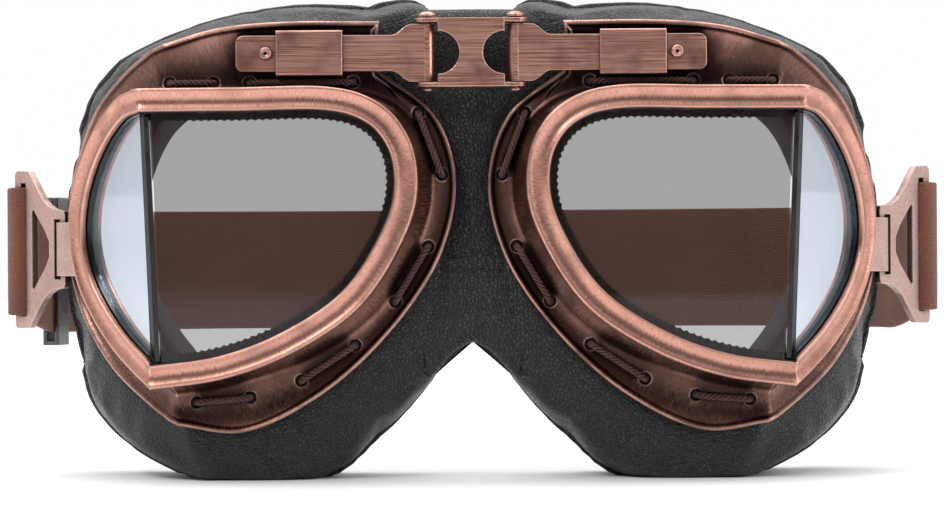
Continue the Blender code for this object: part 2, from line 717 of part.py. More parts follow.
def make_sleeve(side, sign):
    half = ARM_HALF + GAP
    outer = half + SLEEVE_WALL
    front = ARM_DEPTH - GAP
    back = ARM_DEPTH + ARM_SHEET + GAP
    start, end = SLEEVE
    low = (start, FRONT + front - SLEEVE_WALL, ARM_Z - outer)
    high = (end, FRONT + PLATE_FRONT - GAP, ARM_Z + outer)
    shell = bmesh.new()
    box(shell, low, high)
    bmesh.ops.bevel(shell, geom=[e for e in shell.edges if abs((e.verts[0].co - e.verts[1].co).x) > 1],
                    offset=0.5, segments=3, affect="EDGES", profile=0.5)
    sleeve = finish_object(side + "_sleeve", COPPER, flip(shell, sign))
    hollow = bmesh.new()
    box(hollow, (start - 1, FRONT + front, ARM_Z - half), (end + 1, FRONT + back, ARM_Z + half))
    boolean(sleeve, "DIFFERENCE", helper(side + "_sleeve_hollow", flip(hollow, sign)))


def make_saddle():
    """The leather across the nose, between the two cushions."""
    shape = spline(SADDLE, SADDLE_STEP)
    loops = []
    bm = bmesh.new()
    for at in shape:
        z, depth = at
        front, back = FRONT + depth, FRONT + depth + SADDLE_SHEET
        section = [(-SADDLE_HALF, front), (0, front - 0.3), (SADDLE_HALF, front),
                   (SADDLE_HALF, back), (-SADDLE_HALF, back)]
        loops.append(add_loop(bm, [Vector((x, y, z)) for x, y in section]))
    for first, second in zip(loops, loops[1:]):
        join_loops(bm, first, second)
    bm.faces.new(loops[0])
    bm.faces.new(loops[-1])
    finish_object("nose_saddle", LEATHER, bm)


# The buckles and the strap


def temple_point(d, depth, z):
    return place((True, d, z), depth)


LUG_MIDDLE = (LUG_Z[0] + LUG_Z[1]) / 2
HINGE = temple_point(LUG_AXIS[0], LUG_AXIS[1], LUG_MIDDLE)
ALONG = Vector((math.cos(TURN), math.sin(TURN), 0))
BEHIND = Vector((-math.sin(TURN), math.cos(TURN), 0))


def hinge_frame(along_buckle, behind, z):
    """A point measured from the buckle's hinge: along the buckle, behind it, and up."""
    at = HINGE + ALONG * along_buckle + BEHIND * behind
    return Vector((at.x, at.y, z))


def make_lug(side, sign):
    """A leaf on the plate whose end curls round the buckle's neck bar."""
    inner = NECK_BAR + GAP
    outer = inner + LUG_SHEET
    tail = LUG_TAIL - LUG_AXIS[0]
    shape = [(tail, -inner), (tail, -outer)] + arc((0, 0), outer, -90, 90, 10)
    shape += arc((0, 0), inner, 90, -90, 8)
    foot = [hinge_frame(e, t, LUG_Z[0]) for e, t in shape]
    bm = prism(foot, Vector((0, 0, LUG_Z[1] - LUG_Z[0])))
    finish_object(side + "_buckle_lug", ROSE, flip(bm, sign))


def flat_buckle(points, front, back):
    return prism([hinge_frame(e, front, LUG_MIDDLE + h) for e, h in points],
                 BEHIND * (back - front))


def make_buckle(side, sign):
    half = BUCKLE_SHEET / 2
    edge = [(p.x, p.y) for p in spline(BUCKLE_EDGE, EDGE_STEP)]
    edge += [(BUCKLE_END - 1.6, BUCKLE_EDGE[-1][1] + 0.2)]
    edge += arc((BUCKLE_END - 1.2, BUCKLE_EDGE[-1][1] - 1.0), 1.2, 80, 0, 3)
    top = [(-NECK_BAR, NECK_HALF - 1.2), (-NECK_BAR + 0.4, NECK_HALF - 0.2)] + edge
    shape = top + [(e, -h) for e, h in reversed(top)]
    buckle = finish_object(side + "_buckle", ROSE, flip(flat_buckle(shape, -half, half), sign))
    window = WINDOW + [(e, -h) for e, h in reversed(WINDOW)]
    first, last = NECK_SLOT
    slot = [(NECK_BAR, -last), (first, -last), (first, last), (NECK_BAR, last)]
    low, high = STRAP_SLOT
    strap_slot = [(low, -STRAP_SLOT_HALF), (high, -STRAP_SLOT_HALF), (high, STRAP_SLOT_HALF),
                  (low, STRAP_SLOT_HALF)]
    for name, cut in (("_window", window), ("_neck_slot", slot), ("_strap_slot", strap_slot)):
        bm = flip(flat_buckle(cut, -half - 1, half + 1), sign)
        boolean(buckle, "DIFFERENCE", helper(side + "_buckle" + name, bm))


def droop(y):
    share = min(1.0, max(0.0, (y - FRONT - DROOP_START) / (DROOP_END - DROOP_START)))
    return STRAP_DROOP * share * share * (3 - 2 * share)


def ribbon(path, thickness):
    """A closed upright band along (x, y) points, half its thickness to each side of them."""
    count = len(path)
    bm = bmesh.new()
    loops = []
    for i, point in enumerate(path):
        before, after = path[max(i - 1, 0)], path[min(i + 1, count - 1)]
        way = (after - before).normalized()
        aside = Vector((way.y, -way.x)) * thickness / 2
        middle = STRAP_Z - droop(point.y)
        ends = (middle - STRAP_HALF, middle + STRAP_HALF)
        corners = [(point + aside, ends[0]), (point + aside, ends[1]),
                   (point - aside, ends[1]), (point - aside, ends[0])]
        loops.append(add_loop(bm, [Vector((spot.x, spot.y, z)) for spot, z in corners]))
    for first, second in zip(loops, loops[1:]):
        join_loops(bm, first, second)
    bm.faces.new(loops[0])
    bm.faces.new(loops[-1])
    return bm


def make_strap_end(side, sign):
    """The webbing that goes through the buckle's slot, round its end bar, and back to itself."""
    low, high = STRAP_SLOT
    middle = (low + high) / 2
    clear = BUCKLE_SHEET / 2 + GAP + STRAP_SHEET / 2
    bar = (high + BUCKLE_END) / 2
    tip = BUCKLE_END + GAP + STRAP_SHEET / 2
    turns = [(middle, 1.8), (middle, -0.5), (middle + 0.45, -1.6), (bar - 0.9, -clear - 0.1),
             (bar + 0.9, -clear - 0.1), (tip - 0.25, -1.5), (tip, -0.4), (tip, 1.0)]
    path = [hinge_frame(e, t, 0).xy for e, t in turns]
    end = FRONT + LOOP_END
    start = Vector((STRAP_ROUTE[0][0], STRAP_ROUTE[0][1] + FRONT))
    inner = Vector((start.x - STRAP_SHEET / 2 - 0.05, end))
    outer = Vector((start.x + STRAP_SHEET / 2 + 0.05, end))
    route = [inner, inner + (path[0] - inner) * 0.55, *path, outer + (path[-1] - outer) * 0.5, outer]
    points = spline(route, LOOP_STEP)
    left, right = [], []
    for i, point in enumerate(points):
        before, after = points[max(i - 1, 0)], points[min(i + 1, len(points) - 1)]
        way = (after - before).normalized()
        aside = Vector((way.y, -way.x)) * STRAP_SHEET / 2
        left.append(point + aside)
        right.append(point - aside)
    shape = left + right[::-1]
    bm = bmesh.new()
    loops = []
    for edge in (-STRAP_HALF, STRAP_HALF):
        loops.append(add_loop(bm, [Vector((q.x, q.y, STRAP_Z - droop(q.y) + edge)) for q in shape]))
    join_loops(bm, loops[0], loops[1])
    bm.faces.new(loops[0])
    bm.faces.new(loops[1])
    finish_object(side + "_strap_end", WEBBING, flip(bm, sign))


def strap_path():
    route = [Vector((x, y + FRONT)) for x, y in STRAP_ROUTE]
    right = spline(route, BAND_STEP)
    return right + [Vector((-p.x, p.y)) for p in reversed(right[:-1])]


def make_strap_back():
    finish_object("strap_back", WEBBING, ribbon(strap_path(), STRAP_SHEET))


def make_slider():
    """A metal frame round the left strap, which slides along it."""
    a, b = (Vector((-x, y + FRONT)) for x, y in STRAP_ROUTE[SLIDER_RUN:SLIDER_RUN + 2])
    way = (b - a).normalized()
    start = a + way * (SLIDER_AT[0] - STRAP_ROUTE[SLIDER_RUN][1])
    end = a + way * (SLIDER_AT[1] - STRAP_ROUTE[SLIDER_RUN][1])
    aside = Vector((way.y, -way.x))
    middle = STRAP_Z - droop((start.y + end.y) / 2)

    def block(inset, along_more):
        across = STRAP_SHEET / 2 + GAP + SLIDER_SHEET - inset
        half = SLIDER_HALF - inset
        first, last = start - way * along_more, end + way * along_more
        corners = [first + aside * across, last + aside * across, last - aside * across,
                   first - aside * across]
        foot = [Vector((q.x, q.y, middle - half)) for q in corners]
        return prism(foot, Vector((0, 0, 2 * half)))

    slider = finish_object("strap_slider", DARK_METAL, block(0, 0))
    boolean(slider, "DIFFERENCE", helper("slider_hollow", block(SLIDER_SHEET, 1.0)))


clear_scene()
for side, sign in (("left", -1), ("right", 1)):
    make_bezel(side, sign)
    make_plate(side, sign)
    make_gasket(side, sign)
    make_panes(side, sign)
    make_seam_strip(side, sign)
    make_lacing(side, sign)
    make_cushion(side, sign)
    make_foam(side, sign)
    make_sleeve(side, sign)
    make_arm(side, sign)
    make_rivet(side, sign)
    make_pin(side, sign)
    make_lug(side, sign)
    make_buckle(side, sign)
    make_strap_end(side, sign)
make_link()
make_saddle()
make_strap_back()
make_slider()
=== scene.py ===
"""Looks for the motorcycle goggles: materials, soft parts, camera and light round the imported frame.

Lengths are in millimetres until a mesh is made, +Z is up, -Y is the front, and left is at -X.
A cup is drawn once, on the right, in a sheet that is flat in front and turned back at the temple:
a front point is (x, z), a temple point is (distance past the crease, z), and a depth is measured
backwards from the sheet, which lies at the bezel's front face.
"""

import math

import bmesh
import bpy
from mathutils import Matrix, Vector, noise


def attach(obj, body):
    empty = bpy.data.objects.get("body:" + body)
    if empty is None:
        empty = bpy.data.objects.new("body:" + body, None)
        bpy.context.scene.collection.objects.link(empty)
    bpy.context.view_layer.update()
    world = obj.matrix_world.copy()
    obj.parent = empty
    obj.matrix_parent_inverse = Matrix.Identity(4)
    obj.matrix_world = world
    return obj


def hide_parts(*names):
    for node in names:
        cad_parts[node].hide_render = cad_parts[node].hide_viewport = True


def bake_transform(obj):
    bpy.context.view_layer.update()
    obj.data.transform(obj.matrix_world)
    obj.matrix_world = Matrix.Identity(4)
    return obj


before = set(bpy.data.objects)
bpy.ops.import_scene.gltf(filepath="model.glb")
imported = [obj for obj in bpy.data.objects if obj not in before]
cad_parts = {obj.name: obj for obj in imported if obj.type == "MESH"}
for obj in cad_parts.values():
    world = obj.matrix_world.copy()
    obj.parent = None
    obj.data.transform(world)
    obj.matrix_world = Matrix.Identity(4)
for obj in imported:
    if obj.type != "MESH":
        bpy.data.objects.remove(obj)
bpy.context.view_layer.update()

MM = 0.001
FRONT = -63.875
GAP = 0.35
STEP = 1.5  # spacing of the points along an outline
MERGE = 0.02  # corners nearer than this become one
SIDES = (("left", -1), ("right", 1))

# The sheet's crease, which leans a little, and the turn of the temple pane.
CREASE_FOOT = (71.3, 21.1)
CREASE_HEAD = (74.0, 87.6)
TURN = math.radians(47)
MITRE = 5.0  # where the frame plate meets the crease's mitre, past the crease

# Key points of the cup's outlines: top crease, round the nose, bottom crease, temple side.
BEZEL_FRONT = [(74.0, 87.6), (52, 87.7), (31.5, 87.7), (23.5, 85.8), (17.2, 81.5), (12.8, 73.8),
               (12.2, 62.8), (16.6, 51), (25.4, 38.6), (40.2, 28.8), (55, 23.4), (71.3, 21.1)]
BEZEL_SIDE = [(6.5, 25), (13.6, 30.2), (20.3, 37), (25.2, 44.5), (27.5, 53.5), (26.3, 63),
              (21.8, 72.4), (14.8, 80.6), (7, 86)]
FOOT_FRONT = [(69.0, 87.4), (52, 87.5), (31.5, 87.4), (22.3, 86.3), (15.4, 82.6), (10.5, 75.2),
              (9.6, 62.6), (13.9, 50), (22.9, 36.9), (38.6, 27.0), (54.6, 22.0), (66.2, 20.0)]
FOOT_SIDE = [(9.6, 24.2), (15.6, 29.0), (22.2, 36.0), (27.3, 43.8), (29.7, 53.4), (28.4, 63.6),
             (23.7, 73.4), (16.6, 81.6), (9.8, 85.8)]
RIM_FRONT = [(68.8, 98.0), (57, 101.4), (42.6, 102.8), (20.6, 102.8), (20.3, 91.6), (8.4, 82.4),
             (3.4, 68), (6.4, 51.7), (16.1, 36), (33, 19.9), (51.5, 11.0), (66.0, 12.6)]
RIM_SIDE = [(15.2, 17.6), (27, 24.9), (36, 34.7), (40.6, 44), (41.8, 54), (40.3, 65),
            (35.5, 75.1), (28.6, 84.5), (17.8, 92.0)]
RIM_CORNERS = (3, 4)
LEATHER_FRONT = [(70, 99.8), (58, 103.4), (44, 105.8), (22, 107.2), (8, 106.6), (3.6, 88),
                 (3.6, 68), (3.6, 47), (4.6, 27.6), (21.5, 10.6), (39, -1.2), (61, -1.2)]
LEATHER_SIDE = [(77, 6.8), (86, 15.2), (91.2, 26), (93.6, 38), (94.2, 52), (93.6, 66),
                (91.8, 77.4), (87.6, 87.4), (80.4, 95.2)]

# Depths behind the bezel's front face.
BEZEL_DEPTH = 4.6
BEZEL_BAND = 5.2
METAL = 1.2
LENS_FRONT = 2.9
LENS_BACK = 4.5
PANE_EDGE = 1.6  # how far a pane reaches under the bezel's band
COLLAR_TOP = 6.0
COLLAR_INSET = 2.8
PLATE_FRONT = 11.2
PLATE_BACK = 12.2
BEAD_BACK = 13.4
PAN_RISE = 1.9  # how far inside the rim the pan starts to rise to its bead

# Sections of the metal, as (distance outwards from the outline, depth).
BEZEL_SECTION = [(-BEZEL_BAND, METAL), (-BEZEL_BAND, 0.45), (-BEZEL_BAND + 0.12, 0.14),
                 (-BEZEL_BAND + 0.42, 0.0), (-BEZEL_BAND + 0.75, 0.08), (-BEZEL_BAND + 1.05, 0.34),
                 (-BEZEL_BAND / 2 - 0.4, 0.46), (-1.45, 0.40), (-1.0, 0.10), (-0.62, 0.0),
                 (-0.3, 0.06), (-0.08, 0.3), (0.0, 0.7), (0.05, 2.4), (0.1, BEZEL_DEPTH),
                 (-METAL, BEZEL_DEPTH), (-METAL, METAL)]
FOOT_SECTION = [(1.3, PLATE_FRONT), (0.5, PLATE_FRONT - 0.25), (0.0, PLATE_FRONT - 0.9)]
COLLAR_SECTION = [(METAL, COLLAR_TOP + 0.4), (0.9, COLLAR_TOP), (0.2, COLLAR_TOP)]
BEAD_SECTION = [(-0.9, BEAD_BACK), (-0.35, BEAD_BACK), (0.0, 13.0), (0.0, 10.9), (-0.12, 10.5),
                (-0.38, 10.26), (-0.7, 10.22), (-1.05, 10.42), (-1.4, 10.85)]

# The gasket and the scalloped edge inside it.
GASKET_SHOW = 0.3  # how far the gasket shows inside the bezel
GASKET_REACH = 1.2  # how far it reaches behind the pane
SCALLOP_START = 0.2
SCALLOP_PARTS = 5
SCALLOP_PITCH = 1.7
SCALLOP_BITE = 0.45
SCALLOP_REACH = 1.15
SCALLOP_WIDTH = 0.8
SCALLOP_SHEET = 0.7
SCALLOP_MERGE = 0.01

# The lacing: each stitch lies on the frame plate between two holes.
CORD = 1.5
HOLE = 2.8
HOLE_SIDES = 20
HOLE_RUN = 1.3  # how far before and after a hole the cord turns
HOLE_STEEP = 0.5  # how near the hole's middle the cord is steep
HOLE_EASE = 1 / 6  # how much of the cord's drop lies on each side of the steep part
DRILL_SPARE = 2.0  # how far a drill passes the sheet it cuts
STRANDS = 3
STRAND_RADIUS = 0.36
STRAND_LIFT = 0.41
STRAND_PITCH = 3.4
STRAND_SIDES = 7
STRAND_STEP = 0.35
CORD_FRONT = PLATE_FRONT - GAP - CORD / 2
CORD_REAR = PLATE_BACK + GAP + CORD / 2
STITCHES = [((67.4, 89.2), (57.6, 89.2)), ((49.6, 89.2), (26.4, 89.2)),
            ((11.9, 82.2), (6.7, 68.4)), ((9.9, 52.4), (17.3, 40.1)),
            ((26.3, 30.4), (38.4, 22.6)), ((49.8, 18.9), (61.8, 17.9))]
SIDE_STITCHES = [((17.4, 25.4), (26.4, 32.8)), ((31.0, 38.8), (34.2, 46.0)),
                 ((34.2, 62.6), (30.0, 73.4)), ((24.6, 81.0), (15.6, 86.8))]
AROUND_THE_FOOT = [(False, 66.4, 17.4), (True, 7.0, 19.6)]

# The leather pads, and the saddle as (z, depth, half width).
LEATHER_DEPTH = 15.2
CUSHION_BACK = 46.0
CUSHION_FLARE = 0.42
CUSHION_FLARE_X = 52.0
NOSE_RELIEF = 8.0
NOSE_REACH = 30.0
SEAM_INSET = 0.6
GROOVE_INSET = 2.2
BULGE_DEPTH = 3.0  # how far behind its seam the leather's front bulge lies
BULGE_SHARE = 0.75
SHOULDER_DEPTH = 5.5
HEEL = 5.0
REAR_INSET = 3.5
INNER_INSET = 2.0
INNER_SET_BACK = 1.5
LIP_INSET = 1.0
LIP_LEAST = 3.0
PAD_SLACK = 1.9  # how much smaller the pad starts than it swells to
PAD_SWELL = 2.2
PAD_FOLD = 0.55
PAD_PARTS = (2, 3, 7, 3, 4, 2, 7, 4, 1)  # how finely each side of the section is cut
PINNED_SIDES = (0, 7, 8)  # the sides that lie on the plate and stay put
WELT_RADIUS = 0.75
WELT_BEFORE = 3  # how many columns before the shoulder the welt runs
THREAD_RADIUS = 0.24
THREAD_SIDES = 5
THREAD_PITCH = 3.2
THREAD_SHARE = 0.62  # how much of its pitch a stitch fills
THREAD_POINTS = 3
SADDLE_HALF = 3.2
SADDLE_BACK = 21.8
SADDLE_STEP = 1.2
SADDLE_COLUMNS = 14
SADDLE_FALL = 0.6  # the least that the saddle falls back towards its edge
SADDLE_FOLD = 0.35
SADDLE = [(31.4, 20.8, 9.0), (30.8, 18.2, 10.0), (33.0, 15.9, 10.6), (42, 14.2, 11.6),
          (52, 14.0, 7.4), (60, 14.2, 5.0), (68, 14.2, 4.4), (76, 14.1, 6.2), (84, 14.0, 10.8),
          (92, 14.0, 18.4), (100, 14.2, 18.6), (104.2, 15.2, 14.0), (105.8, 17.6, 9.0),
          (105.6, 20.8, 5.0)]
SADDLE_EDGE = 15.4
ARCH = 8.5  # how much lower the saddle's foot is at its edges than in its middle
ARCH_REACH = 14.0
ARCH_POWER = 1.5
FOAM_SHEET = 3.2
FOAM_GAP = 0.6
FOAM_SET_BACK = 1.0
FOAM_PUFF = 0.8
FOAM_ROUND = 0.3
FOAM_WAIST = 0.85
EYE = Vector((46.0, 0.0, 56.0))

# The buckle's hinge and the strap.
LUG_AXIS = (43.6, 11.0)
LUG_MIDDLE = 52.4
STRAP_SLOT = (14.4, 16.6)
BUCKLE_END = 18.8
BUCKLE_SHEET = 1.6
STRAP_Z = 52.0
STRAP_HALF = 15.0
STRAP_SHEET = 1.5
STRAP_DROOP = 4.8
DROOP_START = 54.0
DROOP_END = 84.0
LOOP_END = 68.0
STRAP_ROUTE = [(105.6, 68.4), (103.3, 77.8), (100.7, 88.4), (96.6, 98), (88.6, 109.4),
               (74, 119.4), (52, 125.2), (26, 126.8), (0, 127)]
STRAP_STEP = 1.0
STRAP_JOINTS = (95.0, 107.0, 117.5)  # depths where the strap is cut into its lengths
LOOP_STEP = 0.8
LOOP_SPARE = 0.05
LOOP_INNER = 0.55
LOOP_OUTER = 0.5
SOFT_EDGE = 0.45
SOFT_ASIDE = 0.2
SOFT_RISE = 0.12

# Colours, linear.
COPPER = {"bright": (0.98, 0.66, 0.55), "middle": (0.40, 0.150, 0.105), "dark": (0.020, 0.010, 0.009)}
# The pan's colours are the copper's, darkened as painted shade.
PAN_PAINTED_SHADE = {"bright": (0.98, 0.66, 0.55), "middle": (0.28, 0.104, 0.074), "dark": (0.008, 0.0045, 0.004)}
ROSE = {"bright": (0.80, 0.62, 0.56), "middle": (0.40, 0.25, 0.22), "dark": (0.05, 0.028, 0.024)}
STEEL = {"bright": (0.30, 0.29, 0.29), "middle": (0.075, 0.07, 0.07), "dark": (0.012, 0.011, 0.011)}
LEATHER = ((0.0050, 0.0044, 0.0048), (0.0135, 0.0118, 0.0124))
CORD_BROWN = ((0.024, 0.008, 0.006), (0.105, 0.034, 0.024))
WEB_BROWN = ((0.075, 0.022, 0.012), (0.27, 0.090, 0.054))


# Outlines, drawn as the frame draws them


def spline(points, step=STEP):
    """Points about a step apart along a centripetal Catmull-Rom curve through the given points."""
    points = [Vector(point) for point in points]
    ends = [2 * points[0] - points[1]] + points + [2 * points[-1] - points[-2]]
    found = [points[0]]
    for a, b, c, d in zip(ends, ends[1:], ends[2:], ends[3:]):
        parts = max(1, round((c - b).length / step))
        found += [catmull(a, b, c, d, (i + 1) / parts) for i in range(parts)]
    return found


def catmull(a, b, c, d, t):
    knots = [0.0]
    for p, q in ((a, b), (b, c), (c, d)):
        knots.append(knots[-1] + math.sqrt((q - p).length))
    t0, t1, t2, t3 = knots
    at = t1 + t * (t2 - t1)

    def mix(p, q, start, end):
        return p * ((end - at) / (end - start)) + q * ((at - start) / (end - start))

    a1, a2, a3 = mix(a, b, t0, t1), mix(b, c, t1, t2), mix(c, d, t2, t3)
    return mix(mix(a1, a2, t0, t2), mix(a2, a3, t1, t3), t1, t2)


def crease_x(z):
    share = (z - CREASE_FOOT[1]) / (CREASE_HEAD[1] - CREASE_FOOT[1])
    return CREASE_FOOT[0] + share * (CREASE_HEAD[0] - CREASE_FOOT[0])


def parts_between(keys):
    return [max(1, round((Vector(b) - Vector(a)).length / STEP)) for a, b in zip(keys, keys[1:])]


FRONT_PARTS = parts_between(BEZEL_FRONT)
SIDE_PARTS = parts_between([(0, BEZEL_FRONT[-1][1])] + BEZEL_SIDE + [(0, BEZEL_FRONT[0][1])])


def along(keys, parts, corners=()):
    """The outline's points, with the agreed number of steps between two keys. A corner stays sharp."""
    points = [Vector(key) for key in keys]
    ends = [2 * points[0] - points[1]] + points + [2 * points[-1] - points[-2]]
    found = [points[0]]
    for i, count in enumerate(parts):
        a, b, c, d = ends[i:i + 4]
        a = 2 * b - c if i in corners else a
        d = 2 * c - b if i + 1 in corners else d
        found += [catmull(a, b, c, d, (j + 1) / count) for j in range(count)]
    return found


def outline(front, side, corners=(), mitre=0.0):
    """A closed outline as (is it past the crease, first coordinate, z)."""
    fore = along(front, FRONT_PARTS, corners)
    aft = along([(mitre, front[-1][1])] + side + [(mitre, front[0][1])], SIDE_PARTS)
    return [(False, p.x, p.y) for p in fore] + [(True, p.x, p.y) for p in aft[1:-1]]


def offset(points, distances):
    """The outline moved outwards, by one distance or by a list of them, square to itself."""
    count = len(points)
    if not isinstance(distances, list):
        distances = [distances] * count
    flat = [Vector((crease_x(z) + u if past else u, z)) for past, u, z in points]
    crease = max(i for i, point in enumerate(points) if not point[0])
    moved = []
    for i, ((past, u, z), distance) in enumerate(zip(points, distances)):
        if i in (0, crease):
            rise = distance if i == 0 else -distance
            moved.append((False, u + crease_x(z + rise) - crease_x(z), z + rise))
            continue
        tangent = flat[(i + 1) % count] - flat[i - 1]
        normal = Vector((tangent.y, -tangent.x)).normalized() * distance
        at = flat[i] + normal
        moved.append((past, at.x - crease_x(at.y) if past else at.x, at.y))
    return moved


def place(point, depth):
    """The 3-D point at a depth behind the sheet. Points too near the crease meet on its mitre."""
    past, u, z = point
    crease = crease_x(z)
    reach = depth * math.tan(TURN / 2)
    if not past:
        return Vector((min(u, crease - reach), FRONT + depth, z))
    d = max(u, reach)
    x = crease + d * math.cos(TURN) - depth * math.sin(TURN)
    y = FRONT + d * math.sin(TURN) + depth * math.cos(TURN)
    return Vector((x, y, z))


BEZEL = outline(BEZEL_FRONT, BEZEL_SIDE)
FOOT = outline(FOOT_FRONT, FOOT_SIDE, mitre=MITRE)
RIM = outline(RIM_FRONT, RIM_SIDE, corners=RIM_CORNERS, mitre=MITRE)
SILHOUETTE = along(LEATHER_FRONT, FRONT_PARTS)
SILHOUETTE += along([LEATHER_FRONT[-1]] + LEATHER_SIDE + [LEATHER_FRONT[0]], SIDE_PARTS)[1:-1]


def layer(points, distance, depth):
    return [place(point, depth) for point in offset(points, distance)]


# Meshes


def lengths(points):
    run = [0.0]
    for a, b in zip(points, points[1:]):
        run.append(run[-1] + (b - a).length)
    return run


def grid_object(name, rows, sign=1, joined=True, merge=0.0):
    """A closed mesh from rows of points, each row a loop. The rows close too, or end in caps.

    Its UV map is in metres: along a row, and from row to row.
    """
    bm = bmesh.new()
    uv = bm.loops.layers.uv.new("surface")
    count = len(rows[0])
    made = [[bm.verts.new((p.x * sign * MM, p.y * MM, p.z * MM)) for p in row] for row in rows]
    across = lengths([row[0] for row in rows] + [rows[0][0]])
    around = lengths(rows[0] + [rows[0][0]])
    last = len(rows) if joined else len(rows) - 1
    for j in range(last):
        first, second = made[j], made[(j + 1) % len(rows)]
        for i in range(count):
            k = (i + 1) % count
            face = bm.faces.new((first[i], first[k], second[k], second[i]))
            corners = ((i, j), (i + 1, j), (i + 1, j + 1), (i, j + 1))
            for loop, (s, t) in zip(face.loops, corners):
                loop[uv].uv = (around[s] * MM, across[t] * MM)
    if not joined:
        bm.faces.new(made[0])
        bm.faces.new(made[-1])
    if merge:
        bmesh.ops.remove_doubles(bm, verts=bm.verts, dist=merge * MM)
    bmesh.ops.recalc_face_normals(bm, faces=bm.faces)
    mesh = bpy.data.meshes.new(name)
    bm.to_mesh(mesh)
    bm.free()
    mesh.shade_smooth()
    obj = bpy.data.objects.new(name, mesh)
    bpy.context.scene.collection.objects.link(obj)
    return obj


def sharpen(obj, degrees):
    obj.data.set_sharp_from_angle(angle=math.radians(degrees))


PARALLEL = 0.05  # a direction this near to another gives no sure way aside


def tube(name, path, radius, sign=1, sides=8, closed=False, twist=0.0, lift=0.0, phase=0.0):
    """A tube along a path. With a lift it winds round the path, one turn in each twist."""
    rows = []
    run = lengths(path)
    count = len(path)
    up = Vector((0, 1, 0))
    for i, point in enumerate(path):
        before = path[i - 1] if closed or i else path[0]
        after = path[(i + 1) % count] if closed or i + 1 < count else path[-1]
        way = (after - before).normalized()
        right = way.cross(up)
        right = right.normalized() if right.length > PARALLEL else way.orthogonal().normalized()
        above = right.cross(way)
        up = above
        turn = phase + 2 * math.pi * run[i] / twist if twist else 0.0
        centre = point + (right * math.cos(turn) + above * math.sin(turn)) * lift
        row = []
        for k in range(sides):
            angle = 2 * math.pi * k / sides
            row.append(centre + (right * math.cos(angle) + above * math.sin(angle)) * radius)
        rows.append(row)
    return grid_object(name, rows, sign, joined=closed)


def finish_piece(obj, look, body=None, replaces=()):
    obj.data.materials.clear()
    obj.data.materials.append(look)
    for node in replaces:
        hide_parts(node)
    if body:
        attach(obj, body)
    return obj


# Materials. A scale is per metre, a span is (from, to), and a bump is (strength, millimetres).


EDGE_WEAR = (0.992, 0.86)  # how far a rounded edge turns from its face, from whole to worn
BRUSH_SPAN = (0.36, 0.66)
BRUSH_BUMP = (0.22, 0.05)
ROUGH_SPAN = (0.30, 0.70)
CLOUD_SCALE = 130.0
CLOUD_SHARE = 0.75  # how much of a stain follows the clouds, and not the brush marks
STAIN_SPAN = (0.50, 0.66)
CHIP_SPAN = (0.30, 0.50)
CHIP_LEAST = 0.55
# roughness added under the dark mask, which holds stains and painted shade
STAIN_AND_SHADE_ROUGHNESS = 0.12
PEBBLE_SCALE = 1150.0
PEBBLE_EDGE = 0.22
PEBBLE_DRIFT = 420.0
PEBBLE_BUMP = (1.0, 0.42)
CREASE_SCALE = 310.0
CREASE_SPAN = (0.35, 0.65)
CREASE_BUMP = (0.8, 1.3)
FOLD_SCALE = 70.0
FOLD_SPAN = (0.15, 0.6)
LEATHER_ROUGHNESS = (0.50, 0.30)
RUBBER_TONE = 2.4
RUBBER_SPREAD = 0.16
FOAM_TONES = ((0.004, 0.004, 0.0045), (0.022, 0.021, 0.021))
FOAM_BUMP = (0.8, 0.35)
YARN_BUMP = (0.6, 0.18)
YARN_SHADE = 0.7  # how near another strand must lie to paint shade on a strand, in millimetres
RIB = 0.95
RIB_ROW = 0.8
RIB_SHARE = 0.6
RIB_BUMP = (0.8, 0.28)
FUZZ_BUMP = (0.35, 0.12)
WIPE_TINT = 1.12
WIPE_SPAN = (0.35, 0.7)
WIPE_ROUGHNESS = (0.02, 0.06)


class Look:
    """A Principled material, and short ways to add nodes to it."""

    def __init__(self, name, **sockets):
        self.material = bpy.data.materials.new(name)
        self.material.use_nodes = True
        self.tree = self.material.node_tree
        self.shader = self.tree.nodes["Principled BSDF"]
        for socket, value in sockets.items():
            self.shader.inputs[socket.replace("_", " ")].default_value = value
        self.coords = self.node("TexCoord")

    def node(self, kind, inputs=None, **settings):
        made = self.tree.nodes.new("ShaderNode" + kind)
        for key, value in settings.items():
            setattr(made, key, value)
        for key, value in (inputs or {}).items():
            if isinstance(value, bpy.types.NodeSocket):
                self.tree.links.new(value, made.inputs[key])
            else:
                made.inputs[key].default_value = value
        return made

    def feed(self, socket, value):
        self.tree.links.new(value, self.shader.inputs[socket])

    def stretched(self, scale, output="Object"):
        return self.node("Mapping", {"Vector": self.coords.outputs[output], "Scale": scale}).outputs[0]

    def noise(self, scale, detail=3.0, vector=None, roughness=0.5):
        vector = vector or self.coords.outputs["Object"]
        inputs = {"Vector": vector, "Scale": scale, "Detail": detail, "Roughness": roughness}
        return self.node("TexNoise", inputs).outputs["Fac"]

    def span(self, value, low, high, to_low=0.0, to_high=1.0):
        inputs = {"Value": value, "From Min": low, "From Max": high,
                  "To Min": to_low, "To Max": to_high}
        return self.node("MapRange", inputs).outputs[0]

    def math(self, operation, a, b=0.0):
        return self.node("Math", {0: a, 1: b}, operation=operation).outputs[0]

    def mix(self, factor, a, b):
        inputs = {0: factor}
        for key, value in ((6, a), (7, b)):
            inputs[key] = (*value, 1.0) if isinstance(value, tuple) else value
        return self.node("Mix", inputs, data_type="RGBA").outputs[2]

    def bump(self, height, strength, distance, normal=None):
        inputs = {"Height": height, "Strength": strength, "Distance": distance * MM}
        if normal:
            inputs["Normal"] = normal
        return self.node("Bump", inputs).outputs[0]


